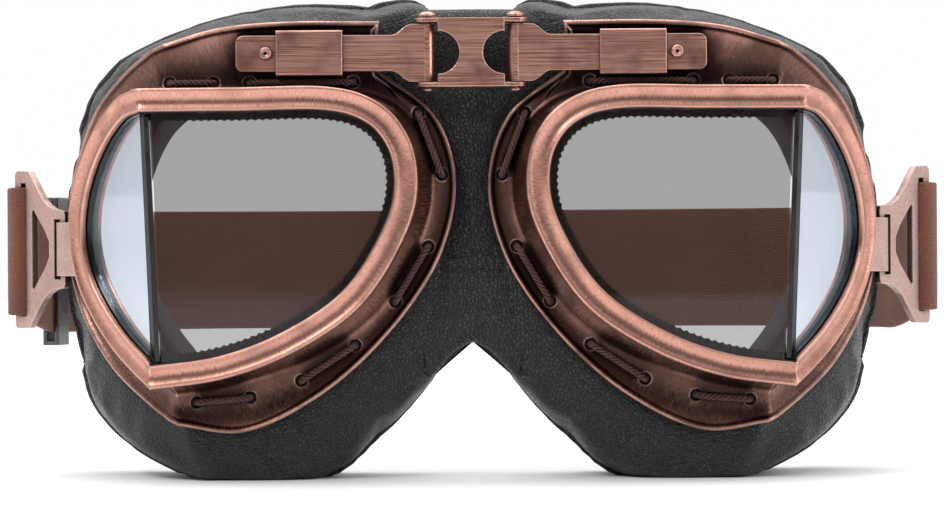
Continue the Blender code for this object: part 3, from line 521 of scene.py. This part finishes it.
def metal_look(name, tones, streaks, roughness=(0.22, 0.42), worn=1.0, patina=0.5, radius=0.5,
               reach=5.0, shade=(0.85, 0.35), output="Object"):
    """Brushed antique metal: bright where an edge wears, dark with stains, and dark in recesses with
    painted shade.
    """
    look = Look(name, Metallic=1.0)
    rounded = look.node("Bevel", {"Radius": radius * MM}, samples=4).outputs[0]
    shape = look.node("NewGeometry").outputs["Normal"]
    facing = look.node("VectorMath", {0: rounded, 1: shape}, operation="DOT_PRODUCT").outputs["Value"]
    edge = look.span(facing, *EDGE_WEAR, 0.0, worn)
    brushed = look.noise(1.0, 4.0, look.stretched(streaks, output), 0.65)
    cloud = look.noise(CLOUD_SCALE)
    # Painted shade: ambient occlusion darkens hollows and the metal beside walls.
    open_air = look.node("AmbientOcclusion", {"Distance": reach * MM}, samples=4).outputs["AO"]
    painted_recess_shade = look.span(open_air, *shade)
    mottled = look.math("ADD", look.math("MULTIPLY", cloud, CLOUD_SHARE),
                        look.math("MULTIPLY", brushed, 1 - CLOUD_SHARE))
    stained = look.span(mottled, *STAIN_SPAN, 0.0, patina)
    # The dark mask joins the random stains with the painted recess shade.
    stains_and_painted_shade = look.math("MAXIMUM", painted_recess_shade, stained)
    colour = look.mix(look.span(brushed, *BRUSH_SPAN), tones["middle"], tones["bright"])
    colour = look.mix(0.5, colour, tones["middle"])
    colour = look.mix(stains_and_painted_shade, colour, tones["dark"])
    bare = look.math("MULTIPLY", edge, look.span(cloud, *CHIP_SPAN, CHIP_LEAST, 1.0))
    look.feed("Base Color", look.mix(bare, colour, tones["bright"]))
    rough = look.span(brushed, *ROUGH_SPAN, *roughness)
    stain_and_shade_roughness = look.math("MULTIPLY", stains_and_painted_shade, STAIN_AND_SHADE_ROUGHNESS)
    look.feed("Roughness", look.math("ADD", rough, stain_and_shade_roughness))
    look.feed("Normal", look.bump(brushed, *BRUSH_BUMP, rounded))
    return look.material


def leather_look(name):
    look = Look(name, Specular_IOR_Level=0.52, Coat_Weight=0.12, Coat_Roughness=0.32)
    drift = look.node("TexNoise", {"Vector": look.coords.outputs["Object"], "Scale": PEBBLE_DRIFT})
    shift = look.node("VectorMath", {0: drift.outputs["Color"], 1: (MM, MM, MM)}, operation="MULTIPLY")
    warped = look.node("VectorMath", {0: look.coords.outputs["Object"], 1: shift.outputs[0]})
    cells = look.node("TexVoronoi", {"Vector": warped.outputs[0], "Scale": PEBBLE_SCALE},
                      feature="DISTANCE_TO_EDGE").outputs["Distance"]
    pebble = look.span(cells, 0.0, PEBBLE_EDGE)
    creases = look.noise(CREASE_SCALE, 5.0, look.stretched((1.0, 1.0, 1.8)), 0.6)
    folds = look.noise(FOLD_SCALE)
    tone = look.math("MULTIPLY", pebble, look.span(creases, *CREASE_SPAN, 0.5, 1.0))
    look.feed("Base Color", look.mix(tone, *LEATHER))
    worn = look.math("MULTIPLY", pebble, folds)
    look.feed("Roughness", look.span(worn, *FOLD_SPAN, *LEATHER_ROUGHNESS))
    coarse = look.bump(creases, *CREASE_BUMP)
    look.feed("Normal", look.bump(pebble, *PEBBLE_BUMP, coarse))
    return look.material


def rubber_look(name, colour, roughness, grain):
    look = Look(name, Specular_IOR_Level=0.6)
    speck = look.noise(900.0, 4.0)
    cloud = look.noise(160.0)
    tone = tuple(RUBBER_TONE * part for part in colour)
    look.feed("Base Color", look.mix(look.span(cloud, 0.4, 0.7), colour, tone))
    look.feed("Roughness", look.span(cloud, 0.3, 0.7, roughness, roughness + RUBBER_SPREAD))
    look.feed("Normal", look.bump(speck, grain, 0.12))
    return look.material


def foam_look(name):
    look = Look(name, Roughness=0.95, Sheen_Weight=0.25, Sheen_Roughness=0.5)
    fuzz = look.noise(1500.0, 6.0, roughness=0.7)
    cells = look.node("TexVoronoi", {"Vector": look.coords.outputs["Object"], "Scale": 1700.0})
    look.feed("Base Color", look.mix(fuzz, *FOAM_TONES))
    look.feed("Normal", look.bump(cells.outputs["Distance"], *FOAM_BUMP))
    return look.material


def cord_look(name):
    look = Look(name, Roughness=0.72, Sheen_Weight=0.15, Sheen_Roughness=0.45)
    fibre = look.noise(1.0, 4.0, look.stretched((900.0, 900.0, 900.0)), 0.7)
    yarn = look.noise(1.0, 3.0, look.stretched((2600.0, 320.0, 1.0), "UV"), 0.6)
    tone = look.math("MULTIPLY", fibre, look.span(yarn, 0.3, 0.7, 0.6, 1.7))
    # Painted shade: a strand is darkened where another strand lies near, and its open top is lifted a
    # little.
    open_air = look.node("AmbientOcclusion", {"Distance": YARN_SHADE * MM}, samples=4).outputs["AO"]
    tone = look.math("MULTIPLY", tone, look.span(open_air, 0.45, 0.95, 0.05, 1.3))
    look.feed("Base Color", look.mix(tone, *CORD_BROWN))
    look.feed("Normal", look.bump(yarn, *YARN_BUMP))
    return look.material


def webbing_look(name):
    """Woven elastic: short ribs across the band, in rows that are set off by half a rib."""
    look = Look(name, Roughness=0.82, Sheen_Weight=0.12, Sheen_Roughness=0.5)
    rib, row = RIB * MM, RIB_ROW * MM
    split = look.node("SeparateXYZ", {0: look.coords.outputs["UV"]})
    across, lengthwise = split.outputs[0], split.outputs[1]
    wave_row = look.math("SINE", look.math("MULTIPLY", across, 2 * math.pi / row))
    shifted = look.math("ADD", look.math("MULTIPLY", lengthwise, 2 * math.pi / rib),
                        look.math("MULTIPLY", look.math("SIGN", wave_row), math.pi / 2))
    wave_rib = look.math("ABSOLUTE", look.math("SINE", look.math("MULTIPLY", shifted, 0.5)))
    height = look.math("MULTIPLY", wave_rib, look.math("ABSOLUTE", wave_row))
    fuzz = look.noise(2200.0, 4.0, roughness=0.65)
    cloud = look.noise(60.0, 2.0)
    tone = look.math("ADD", look.math("MULTIPLY", height, RIB_SHARE),
                     look.math("MULTIPLY", fuzz, 1 - RIB_SHARE))
    tone = look.math("MULTIPLY", tone, look.span(cloud, 0.3, 0.7, 0.8, 1.2))
    look.feed("Base Color", look.mix(tone, *WEB_BROWN))
    fine = look.bump(fuzz, *FUZZ_BUMP)
    look.feed("Normal", look.bump(height, *RIB_BUMP, fine))
    return look.material


def pane_look(name, colour, alpha, metallic):
    """A thin tinted pane with faint wipe marks."""
    look = Look(name, Metallic=metallic, Alpha=alpha, IOR=1.5, Specular_IOR_Level=0.6)
    wiped = look.noise(1.0, 3.0, look.stretched((30.0, 30.0, 90.0)), 0.5)
    tint = tuple(WIPE_TINT * part for part in colour)
    look.feed("Base Color", look.mix(wiped, colour, tint))
    look.feed("Roughness", look.span(wiped, *WIPE_SPAN, *WIPE_ROUGHNESS))
    return look.material


looks = {
    "bezel": metal_look("brushed_copper_ring", COPPER, (9000.0, 700.0, 1.0), (0.24, 0.40),
                        output="UV", patina=0.35, radius=0.6),
    # The pan paints shade: darker copper colours, and a long ambient occlusion reach that darkens it
    # beside the collar and bead.
    "plate": metal_look("antique_copper_pan_painted_shade", PAN_PAINTED_SHADE, (9000.0, 500.0, 1.0), (0.16, 0.36),
                        output="UV", patina=0.8, radius=0.7, reach=14.0, shade=(0.92, 0.72)),
    "copper": metal_look("brushed_copper", COPPER, (60.0, 7000.0, 7000.0), (0.22, 0.40),
                         patina=0.6, radius=0.35),
    "rose": metal_look("matt_rose_metal", ROSE, (2500.0, 2500.0, 2500.0), (0.38, 0.52),
                       patina=0.2, radius=0.5, worn=0.6),
    "steel": metal_look("dark_metal_slider", STEEL, (3000.0, 600.0, 3000.0), (0.30, 0.46)),
    "leather": leather_look("pebbled_leather"),
    "rubber": rubber_look("gloss_black_rubber", (0.004, 0.004, 0.0045), 0.16, 0.05),
    "foam": foam_look("black_foam"),
    "cord": cord_look("brown_lacing"),
    "webbing": webbing_look("brown_elastic"),
    "thread": rubber_look("black_thread", (0.006, 0.0055, 0.006), 0.55, 0.3),
    "smoke": pane_look("smoked_pane", (0.030, 0.021, 0.018), 0.40, 0.0),
    "mirror": pane_look("mirrored_pane", (0.60, 0.65, 0.72), 0.74, 0.85),
}


# The metal cups


def make_bezel(side, sign):
    """A pressed ring: a bead along each edge of the band, and a shallow trough between."""
    rows = [layer(BEZEL, distance, depth) for distance, depth in BEZEL_SECTION]
    obj = grid_object(side + "_bezel_ring", rows, sign, merge=MERGE)
    sharpen(obj, 50)
    finish_piece(obj, looks["bezel"], side + "_cup", [side + "_bezel"])


def stitch_ends():
    ends = []
    for start, end in STITCHES:
        ends += [(False, *start), (False, *end)]
    for start, end in SIDE_STITCHES:
        ends += [(True, *start), (True, *end)]
    return ends


def drill_bits(sign):
    """One cylinder for each lacing hole, as a single cutter."""
    bm = bmesh.new()
    for end in stitch_ends():
        start, stop = place(end, PLATE_FRONT - DRILL_SPARE), place(end, PLATE_BACK + DRILL_SPARE)
        run = stop - start
        made = bmesh.ops.create_cone(bm, cap_ends=True, segments=HOLE_SIDES, depth=run.length * MM,
                                     radius1=HOLE / 2 * MM, radius2=HOLE / 2 * MM)
        turn = run.to_track_quat("Z", "Y").to_matrix()
        bmesh.ops.rotate(bm, cent=(0, 0, 0), matrix=turn, verts=made["verts"])
        bmesh.ops.translate(bm, vec=(start + run / 2) * MM, verts=made["verts"])
    if sign < 0:
        bmesh.ops.scale(bm, vec=(-1, 1, 1), verts=bm.verts)
        bmesh.ops.reverse_faces(bm, faces=bm.faces)
    mesh = bpy.data.meshes.new("drill_bits")
    bm.to_mesh(mesh)
    bm.free()
    obj = bpy.data.objects.new("drill_bits", mesh)
    bpy.context.scene.collection.objects.link(obj)
    return obj


def make_plate(side, sign):
    """The plate: a collar that rises to the bezel, a flat pan, and a rolled bead round the rim."""
    collar = offset(BEZEL, -COLLAR_INSET)
    sections = [(FOOT, FOOT_SECTION), (collar, COLLAR_SECTION), (FOOT, [(-METAL, PLATE_BACK)]),
                (RIM, [(-PAN_RISE, PLATE_BACK), *BEAD_SECTION, (-PAN_RISE, PLATE_FRONT)])]
    rows = [layer(points, distance, depth) for points, section in sections
            for distance, depth in section]
    obj = grid_object(side + "_plate_pan", rows, sign, merge=MERGE)
    cutter = drill_bits(sign)
    modifier = obj.modifiers.new("drill", "BOOLEAN")
    modifier.object = cutter
    modifier.solver = "EXACT"
    bake_modifiers(obj)
    bpy.data.objects.remove(cutter)
    sharpen(obj, 45)
    finish_piece(obj, looks["plate"], side + "_cup", [side + "_frame_plate"])


def bake_modifiers(obj):
    graph = bpy.context.evaluated_depsgraph_get()
    mesh = bpy.data.meshes.new_from_object(obj.evaluated_get(graph))
    obj.modifiers.clear()
    obj.data = mesh
    mesh.name = obj.name


def make_gasket(side, sign):
    """The rubber seat that holds the panes behind the bezel."""
    lip = -BEZEL_BAND - GASKET_SHOW
    reach = lip - GASKET_REACH
    seat = -BEZEL_BAND + PANE_EDGE
    profile = [(lip, METAL + GAP), (-METAL - GAP, METAL + GAP), (-METAL - GAP, COLLAR_TOP - GAP),
               (reach, COLLAR_TOP - GAP), (reach, LENS_BACK + GAP),
               (seat, LENS_BACK + GAP), (seat, LENS_FRONT - GAP), (lip, LENS_FRONT - GAP)]
    rows = [layer(BEZEL, distance, depth) for distance, depth in profile]
    obj = grid_object(side + "_gasket_seat", rows, sign, merge=MERGE)
    sharpen(obj, 40)
    finish_piece(obj, looks["rubber"], side + "_cup", [side + "_gasket"])


def refined(points, parts):
    """The outline with each step cut into parts."""
    found = []
    for (past, u, z), (after, v, y) in zip(points, points[1:] + points[:1]):
        for k in range(parts):
            share = k / parts
            if past == after:
                found.append((past, u + share * (v - u), z + share * (y - z)))
            elif share == 0:
                found.append((past, u, z))
    return found


def make_scallops(side, sign):
    """A thin edge round the opening, whose inner side is cut in small scallops."""
    edge = refined(offset(BEZEL, -BEZEL_BAND - SCALLOP_START), SCALLOP_PARTS)
    run = lengths([place(point, LENS_BACK) for point in edge])
    waves = [abs(math.sin(math.pi * at / SCALLOP_PITCH)) for at in run]
    inner = [-SCALLOP_REACH + SCALLOP_BITE * wave - SCALLOP_WIDTH for wave in waves]
    front = LENS_BACK + GAP
    back = front + SCALLOP_SHEET
    rows = [[place(point, depth) for point in offset(edge, distance)]
            for distance, depth in ((0.0, front), (0.0, back), (inner, back), (inner, front))]
    obj = grid_object(side + "_scalloped_edge", rows, sign, merge=SCALLOP_MERGE)
    sharpen(obj, 50)
    finish_piece(obj, looks["foam"], side + "_cup")


# The lacing


def sheet_point(start, end, distance):
    """A point on the sheet, at a distance from the start towards the end, both on one pane."""
    a, b = Vector(start[1:]), Vector(end[1:])
    at = a + (b - a).normalized() * distance
    return (start[0], at.x, at.y)


def lacing_route():
    """Through every stitch: up through its first hole, along the plate, and down the second."""
    front = [((False, *a), (False, *b)) for a, b in STITCHES]
    temple = [((True, *a), (True, *b)) for a, b in SIDE_STITCHES]
    route = []
    ease = (CORD_REAR - CORD_FRONT) * HOLE_EASE
    for start, end in front + temple:
        if (start, end) == temple[0]:
            route += [place(point, CORD_REAR) for point in AROUND_THE_FOOT]
        for at, towards, turn in ((start, end, 1), (end, start, -1)):
            down = [(-HOLE_RUN, CORD_REAR), (-HOLE_STEEP, CORD_REAR - ease),
                    (HOLE_STEEP, CORD_FRONT + ease), (HOLE_RUN, CORD_FRONT)]
            for distance, depth in down[::turn]:
                route.append(place(sheet_point(at, towards, distance), depth))
    return route


def make_lacing(side, sign):
    path = spline(lacing_route(), STRAND_STEP)
    for k in range(STRANDS):
        name = f"{side}_lacing_strand_{k + 1}"
        strand = tube(name, path, STRAND_RADIUS, sign, sides=STRAND_SIDES, twist=STRAND_PITCH,
                      lift=STRAND_LIFT, phase=2 * math.pi * k / STRANDS)
        finish_piece(strand, looks["cord"], side + "_cup", [side + "_lacing"])


# The leather pads


def back_depth(x):
    return CUSHION_BACK + CUSHION_FLARE * max(0.0, x - CUSHION_FLARE_X)


def relieved(point):
    """The point moved off the nose, more the further back it lies."""
    near = min(1.0, max(0.0, (NOSE_REACH - point.x) / (NOSE_REACH - SADDLE_HALF)))
    depth = max(0.0, point.y - FRONT - LEATHER_DEPTH)
    shift = NOSE_RELIEF * near * depth / (CUSHION_BACK - LEATHER_DEPTH)
    return Vector((point.x + shift, point.y, max(point.z, 0.0)))


def towards_eye(point, distance):
    way = Vector((EYE.x - point.x, 0, EYE.z - point.z))
    return point + way.normalized() * distance


def at_depth(point, depth):
    return Vector((point.x, FRONT + depth, point.z))


def pad_sections():
    """The pad's nine-sided section at each step round the cup."""
    seam = layer(RIM, -SEAM_INSET, BEAD_BACK + GAP)
    groove = layer(RIM, -GROOVE_INSET, LEATHER_DEPTH)
    wall = layer(FOOT, 0, LEATHER_DEPTH)
    sections = []
    for i, outer in enumerate(SILHOUETTE):
        side = towards_eye(Vector((outer.x, 0, outer.y)), PAD_SLACK)
        back = back_depth(outer.x)
        start = seam[i].y - FRONT
        bulge = seam[i].lerp(at_depth(side, start + BULGE_DEPTH), BULGE_SHARE)
        shoulder = at_depth(side, start + SHOULDER_DEPTH)
        heel = at_depth(side, back - HEEL)
        rear = towards_eye(at_depth(side, back), REAR_INSET)
        inner = towards_eye(at_depth(wall[i], back - INNER_SET_BACK), INNER_INSET)
        lip_depth = max(back - HEEL, wall[i].y - FRONT + LIP_LEAST)
        lip = towards_eye(at_depth(wall[i], lip_depth), LIP_INSET)
        row = [seam[i], bulge, shoulder, heel, rear, inner, lip, wall[i], groove[i]]
        sections.append([relieved(point) for point in row])
    return sections


def fine_sections(sections):
    """The sections with rounded corners, and the columns that are pinned."""
    fine = []
    for row in sections:
        count = len(row)
        points = []
        for j, parts in enumerate(PAD_PARTS):
            a, b, c, d = (row[(j + k) % count] for k in (-1, 0, 1, 2))
            points += [catmull(a, b, c, d, k / parts) for k in range(parts)]
        fine.append(points)
    pinned = []
    column = 0
    for j, parts in enumerate(PAD_PARTS):
        if j in PINNED_SIDES:
            pinned += list(range(column, column + parts))
        column += parts
    return fine, pinned


CLOTH_FRAMES = 20


def inflate(obj, pinned, reach):
    """Swells the pad by cloth simulation, and caps how far a point may move."""
    group = obj.vertex_groups.new(name="pinned")
    group.add(pinned, 1.0, "REPLACE")
    cloth = obj.modifiers.new("cloth", "CLOTH")
    settings = cloth.settings
    settings.vertex_group_mass = "pinned"
    settings.use_pressure = True
    settings.uniform_pressure_force = 4.0
    settings.effector_weights.gravity = 0.0
    settings.mass = 0.25
    settings.tension_stiffness = 8.0
    settings.compression_stiffness = 8.0
    settings.shear_stiffness = 3.0
    settings.bending_stiffness = 0.4
    settings.shrink_min = -0.035
    cloth.collision_settings.use_collision = False
    rest = [vertex.co.copy() for vertex in obj.data.vertices]
    for number in range(1, CLOTH_FRAMES + 1):
        bpy.context.scene.frame_set(number)
    graph = bpy.context.evaluated_depsgraph_get()
    moved = [vertex.co.copy() for vertex in obj.evaluated_get(graph).data.vertices]
    obj.modifiers.clear()
    bpy.context.scene.frame_set(1)
    for vertex, start, end in zip(obj.data.vertices, rest, moved):
        shift = end - start
        if shift.length > reach * MM:
            shift *= reach * MM / shift.length
        vertex.co = start + shift


WRINKLE_SCALE = Vector((90, 60, 90))
RIDGE_SCALE = 2.7
RIDGE_SHIFT = Vector((7, 3, 5))
RIDGE_SLOPE = 2.2
RIDGE_SHARE = 0.3


def wrinkled(point, normal, size):
    """The point moved along its normal by folds that run longer from front to back."""
    spot = point * WRINKLE_SCALE
    broad = noise.noise(spot)
    ridge = 1 - abs(noise.noise(spot * RIDGE_SCALE + RIDGE_SHIFT)) * RIDGE_SLOPE
    return point + normal * (broad * (1 - RIDGE_SHARE) + ridge * RIDGE_SHARE) * size * MM


def make_pads():
    """One pad is swelled and folded, and then both sides are made from it."""
    sections, pinned_columns = fine_sections(pad_sections())
    count = len(sections)
    width = len(sections[0])
    rows = [[sections[i][j] for i in range(count)] for j in range(width)]
    pad = grid_object("pad_shape", rows)
    pinned = [j * count + i for j in pinned_columns for i in range(count)]
    inflate(pad, pinned, PAD_SWELL)
    held = set(pinned)
    still = [vertex.co.copy() for vertex in pad.data.vertices]
    for vertex, point in zip(pad.data.vertices, still):
        if vertex.index not in held:
            vertex.co = wrinkled(point, vertex.normal, PAD_FOLD)
    shape = [[pad.data.vertices[j * count + i].co / MM for i in range(count)] for j in range(width)]
    bpy.data.objects.remove(pad)
    for row in shape:
        for point in row:
            point.z = max(point.z, 0.0)
            point.y = max(point.y, FRONT + BEAD_BACK + GAP)
    welt_row = sum(PAD_PARTS[:3]) - WELT_BEFORE
    for side, sign in SIDES:
        obj = grid_object(side + "_pad", shape, sign)
        smooth = obj.modifiers.new("smooth", "SUBSURF")
        smooth.levels = smooth.render_levels = 1
        finish_piece(obj, looks["leather"], side + "_cup", [side + "_cushion"])
        path = [Vector((point.x, point.y, max(point.z, WELT_RADIUS))) for point in shape[welt_row]]
        welt = tube(side + "_pad_welt", path, WELT_RADIUS, sign, closed=True)
        finish_piece(welt, looks["leather"], side + "_cup")
        make_stitching(side, sign, shape[welt_row - 1])


def make_stitching(side, sign, path):
    """A row of short stitches along the welt, as one piece."""
    run = lengths(path + [path[0]])
    stitches = []
    for k in range(int(run[-1] / THREAD_PITCH)):
        start, end = k * THREAD_PITCH, (k + THREAD_SHARE) * THREAD_PITCH
        inside = [point for point, at in zip(path, run) if start - STEP < at < end + STEP]
        if len(inside) > 1:
            stitches.append(tube(f"stitch_{k}", inside[:THREAD_POINTS], THREAD_RADIUS, sign,
                                 sides=THREAD_SIDES))
    joined = bmesh.new()
    for piece in stitches:
        joined.from_mesh(piece.data)
        bpy.data.objects.remove(piece)
    mesh = bpy.data.meshes.new(side + "_welt_stitches")
    joined.to_mesh(mesh)
    joined.free()
    mesh.shade_smooth()
    obj = bpy.data.objects.new(mesh.name, mesh)
    bpy.context.scene.collection.objects.link(obj)
    finish_piece(obj, looks["thread"], side + "_cup")


def make_foam(side, sign):
    """The soft lining of the eye hollow, thin beside the pane and puffed towards the face."""
    columns = []
    for *_, lip, wall, _ in pad_sections():
        front = towards_eye(wall + Vector((0, FOAM_SET_BACK, 0)), FOAM_GAP)
        rear = towards_eye(lip, FOAM_GAP)
        middle = front.lerp(rear, 0.5)
        puffed = towards_eye(rear, FOAM_SHEET / 2) + Vector((0, FOAM_PUFF, 0))
        rounded = towards_eye(front, FOAM_SHEET / 2) - Vector((0, FOAM_ROUND, 0))
        waist = towards_eye(middle, FOAM_SHEET * FOAM_WAIST)
        columns.append([front, middle, rear, puffed, towards_eye(rear, FOAM_SHEET), waist,
                        towards_eye(front, FOAM_SHEET), rounded])
    rows = [list(row) for row in zip(*columns)]
    obj = grid_object(side + "_foam_ring", rows, sign)
    smooth = obj.modifiers.new("smooth", "SUBSURF")
    smooth.levels = smooth.render_levels = 1
    finish_piece(obj, looks["foam"], side + "_cup", [side + "_foam_liner"])


def make_saddle():
    """The leather across the nose in two halves."""
    path = spline(SADDLE, SADDLE_STEP)
    rear = FRONT + SADDLE_BACK
    forward = Vector((0, -1, 0))
    for side, sign in SIDES:
        rows = []
        for z, depth, half in path:
            row = []
            fall = max(SADDLE_EDGE, depth + SADDLE_FALL) - depth
            low = max(0.0, 1 - (z - SADDLE[1][0]) / ARCH_REACH)
            for k in range(SADDLE_COLUMNS + 1):
                share = k / SADDLE_COLUMNS
                arch = ARCH * share ** ARCH_POWER * low
                row.append(Vector((half * share, FRONT + (depth + fall * share ** 2), z - arch)))
            row += [Vector((half, rear, z - arch)), Vector((0, rear, z))]
            rows.append(row)
        obj = grid_object(side + "_nose_pad", rows, sign, joined=False)
        for vertex in obj.data.vertices:
            spot = Vector((abs(vertex.co.x), vertex.co.y, vertex.co.z))
            if vertex.co.y < (rear - 1) * MM:
                vertex.co += wrinkled(spot, forward, SADDLE_FOLD) - spot
        sharpen(obj, 60)
        finish_piece(obj, looks["leather"], replaces=["nose_saddle"])
        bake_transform(obj)


# The strap


HINGE = place((True, LUG_AXIS[0], LUG_MIDDLE), LUG_AXIS[1])
ALONG = Vector((math.cos(TURN), math.sin(TURN), 0))
BEHIND = Vector((-math.sin(TURN), math.cos(TURN), 0))


def hinge_point(along_buckle, behind):
    return (HINGE + ALONG * along_buckle + BEHIND * behind).xy


def droop(y):
    share = min(1.0, max(0.0, (y - FRONT - DROOP_START) / (DROOP_END - DROOP_START)))
    return STRAP_DROOP * share * share * (3 - 2 * share)


def band(name, path, sign):
    """A woven band along (x, y) points, with soft edges."""
    half, sheet = STRAP_HALF, STRAP_SHEET / 2
    edge = [(sheet, half - SOFT_EDGE), (sheet - SOFT_ASIDE, half - SOFT_RISE), (0.0, half),
            (-sheet + SOFT_ASIDE, half - SOFT_RISE), (-sheet, half - SOFT_EDGE)]
    face = [(-sheet, half / 2), (-sheet, 0.0), (-sheet, -half / 2)]
    section = edge + face + [(-aside, -rise) for aside, rise in edge + face]
    rows = []
    count = len(path)
    for i, point in enumerate(path):
        way = (path[min(i + 1, count - 1)] - path[max(i - 1, 0)]).normalized()
        normal = Vector((way.y, -way.x))
        middle = STRAP_Z - droop(point.y)
        row = []
        for aside, rise in section:
            at = point + normal * aside
            row.append(Vector((at.x, at.y, middle + rise)))
        rows.append(row)
    obj = grid_object(name, rows, sign, joined=False)
    sharpen(obj, 60)
    return obj


def make_loop(side, sign):
    """The end of the strap: through the buckle's slot, round its end bar, and back to itself."""
    low, high = STRAP_SLOT
    middle = (low + high) / 2
    clear = BUCKLE_SHEET / 2 + GAP + STRAP_SHEET / 2
    bar = (high + BUCKLE_END) / 2
    tip = BUCKLE_END + GAP + STRAP_SHEET / 2
    turns = [(middle, 1.8), (middle, -0.5), (middle + 0.45, -1.6), (bar - 0.9, -clear - 0.1),
             (bar + 0.9, -clear - 0.1), (tip - 0.25, -1.5), (tip, -0.4), (tip, 1.0)]
    path = [hinge_point(e, t) for e, t in turns]
    end = FRONT + LOOP_END
    start_x = STRAP_ROUTE[0][0]
    inner = Vector((start_x - STRAP_SHEET / 2 - LOOP_SPARE, end))
    outer = Vector((start_x + STRAP_SHEET / 2 + LOOP_SPARE, end))
    route = [inner, inner + (path[0] - inner) * LOOP_INNER, *path,
             outer + (path[-1] - outer) * LOOP_OUTER, outer]
    obj = band(side + "_strap_loop", spline(route, LOOP_STEP), sign)
    finish_piece(obj, looks["webbing"], side + "_buckle", [side + "_strap_end"])


def nearest(values, target):
    """The index of the value nearest to the target."""
    return min(range(len(values)), key=lambda i: abs(values[i] - target))


def make_strap(side, sign):
    """The strap's half in three lengths, cut at the given depths."""
    path = spline([Vector((x, y + FRONT)) for x, y in STRAP_ROUTE], STRAP_STEP)
    depths = [point.y - FRONT for point in path]
    firm, first, second = (nearest(depths, depth) for depth in STRAP_JOINTS)
    cuts = [0, first, second, len(path) - 1]
    for k, part in enumerate(("front", "middle", "rear")):
        obj = band(f"{side}_strap_{part}", path[cuts[k]:cuts[k + 1] + 1], sign)
        finish_piece(obj, looks["webbing"], replaces=["strap_back"])
        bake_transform(obj)


# Camera, floor and light, in metres, with the lens in millimetres and the roll in degrees


CAMERA_Y = -0.812
CAMERA_Z = 0.049
CLIP_START = 0.01
LENS = 129.5
SENSOR = 36.0
ROLL = 0.35
FLOOR_REACH = 4.0
FLOOR_COLOUR = (0.93, 0.93, 0.935, 1.0)
FRONT_GLOW = 0.05
BACK_GLOW = 1.0
TOP_GLOW = 1.1
GLOW_Y = (-0.75, 0.1)
GLOW_Z = (0.35, 0.9)
GLOW_COLOUR = (0.99, 0.995, 1.0, 1.0)
LIT_POINT = Vector((0, 0, 0.05))
LIGHTS = {"key": ((-0.5, -0.7, 0.75), (0.30, 0.22), 4.2),
          "fill": ((0.7, -0.5, 0.35), (0.16, 0.6), 2.0),
          "top": ((0.0, 0.15, 0.9), (0.9, 0.4), 2.5)}


def make_camera():
    data = bpy.data.cameras.new("camera")
    data.lens = LENS
    data.sensor_width = SENSOR
    data.clip_start = CLIP_START
    camera = bpy.data.objects.new("camera", data)
    camera.location = (0, CAMERA_Y, CAMERA_Z)
    camera.rotation_euler = (math.radians(90), math.radians(ROLL), 0)
    bpy.context.scene.collection.objects.link(camera)
    bpy.context.scene.camera = camera


def make_floor():
    bm = bmesh.new()
    bmesh.ops.create_grid(bm, x_segments=8, y_segments=8, size=FLOOR_REACH)
    mesh = bpy.data.meshes.new("floor")
    bm.to_mesh(mesh)
    bm.free()
    obj = bpy.data.objects.new("floor", mesh)
    look = Look("pale_floor", Roughness=0.6, Base_Color=FLOOR_COLOUR)
    mesh.materials.append(look.material)
    bpy.context.scene.collection.objects.link(obj)


def make_light(name, at, size, power):
    data = bpy.data.lights.new(name, "AREA")
    data.shape = "RECTANGLE"
    data.size, data.size_y = size
    data.energy = power
    light = bpy.data.objects.new(name, data)
    light.location = at
    light.rotation_euler = (LIT_POINT - Vector(at)).to_track_quat("-Z", "Y").to_euler()
    bpy.context.scene.collection.objects.link(light)


def make_world():
    """A white studio: bright behind, beside and above, and dim where the camera stands."""
    world = bpy.data.worlds.new("studio")
    world.use_nodes = True
    tree = world.node_tree

    def node(kind, inputs, **settings):
        made = tree.nodes.new("ShaderNode" + kind)
        for key, value in settings.items():
            setattr(made, key, value)
        for key, value in inputs.items():
            if isinstance(value, bpy.types.NodeSocket):
                tree.links.new(value, made.inputs[key])
            else:
                made.inputs[key].default_value = value
        return made.outputs[0]

    direction = tree.nodes.new("ShaderNodeTexCoord").outputs["Generated"]
    split = tree.nodes.new("ShaderNodeSeparateXYZ")
    tree.links.new(direction, split.inputs[0])

    def graded(axis, span, low, high):
        inputs = {"Value": split.outputs[axis], "From Min": span[0], "From Max": span[1],
                  "To Min": low, "To Max": high}
        return node("MapRange", inputs, interpolation_type="SMOOTHSTEP")

    behind = graded("Y", GLOW_Y, FRONT_GLOW, BACK_GLOW)
    above = graded("Z", GLOW_Z, 0.0, TOP_GLOW)
    glow = node("Math", {0: behind, 1: above}, operation="ADD")
    background = tree.nodes["Background"]
    background.inputs["Color"].default_value = GLOW_COLOUR
    tree.links.new(glow, background.inputs["Strength"])
    bpy.context.scene.world = world
    bpy.context.scene.view_settings.view_transform = "Standard"


for side, sign in SIDES:
    make_bezel(side, sign)
    make_plate(side, sign)
    make_gasket(side, sign)
    make_scallops(side, sign)
    make_lacing(side, sign)
    make_foam(side, sign)
    make_loop(side, sign)
    make_strap(side, sign)
make_pads()
make_saddle()

CARRIED = {"arm": "copper", "hinge_pin": "copper", "stop_rivet": "copper", "sleeve": "copper",
           "buckle": "rose", "buckle_lug": "rose", "front_lens": "smoke", "side_lens": "mirror",
           "seam_strip": "rubber"}
for side, _ in SIDES:
    for part, look in CARRIED.items():
        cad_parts[f"{side}_{part}"].material_slots[0].material = looks[look]
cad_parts["bridge_link"].material_slots[0].material = looks["copper"]
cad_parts["strap_slider"].material_slots[0].material = looks["steel"]

make_camera()
make_floor()
make_world()
for name, (at, size, power) in LIGHTS.items():
    make_light(name, at, size, power)
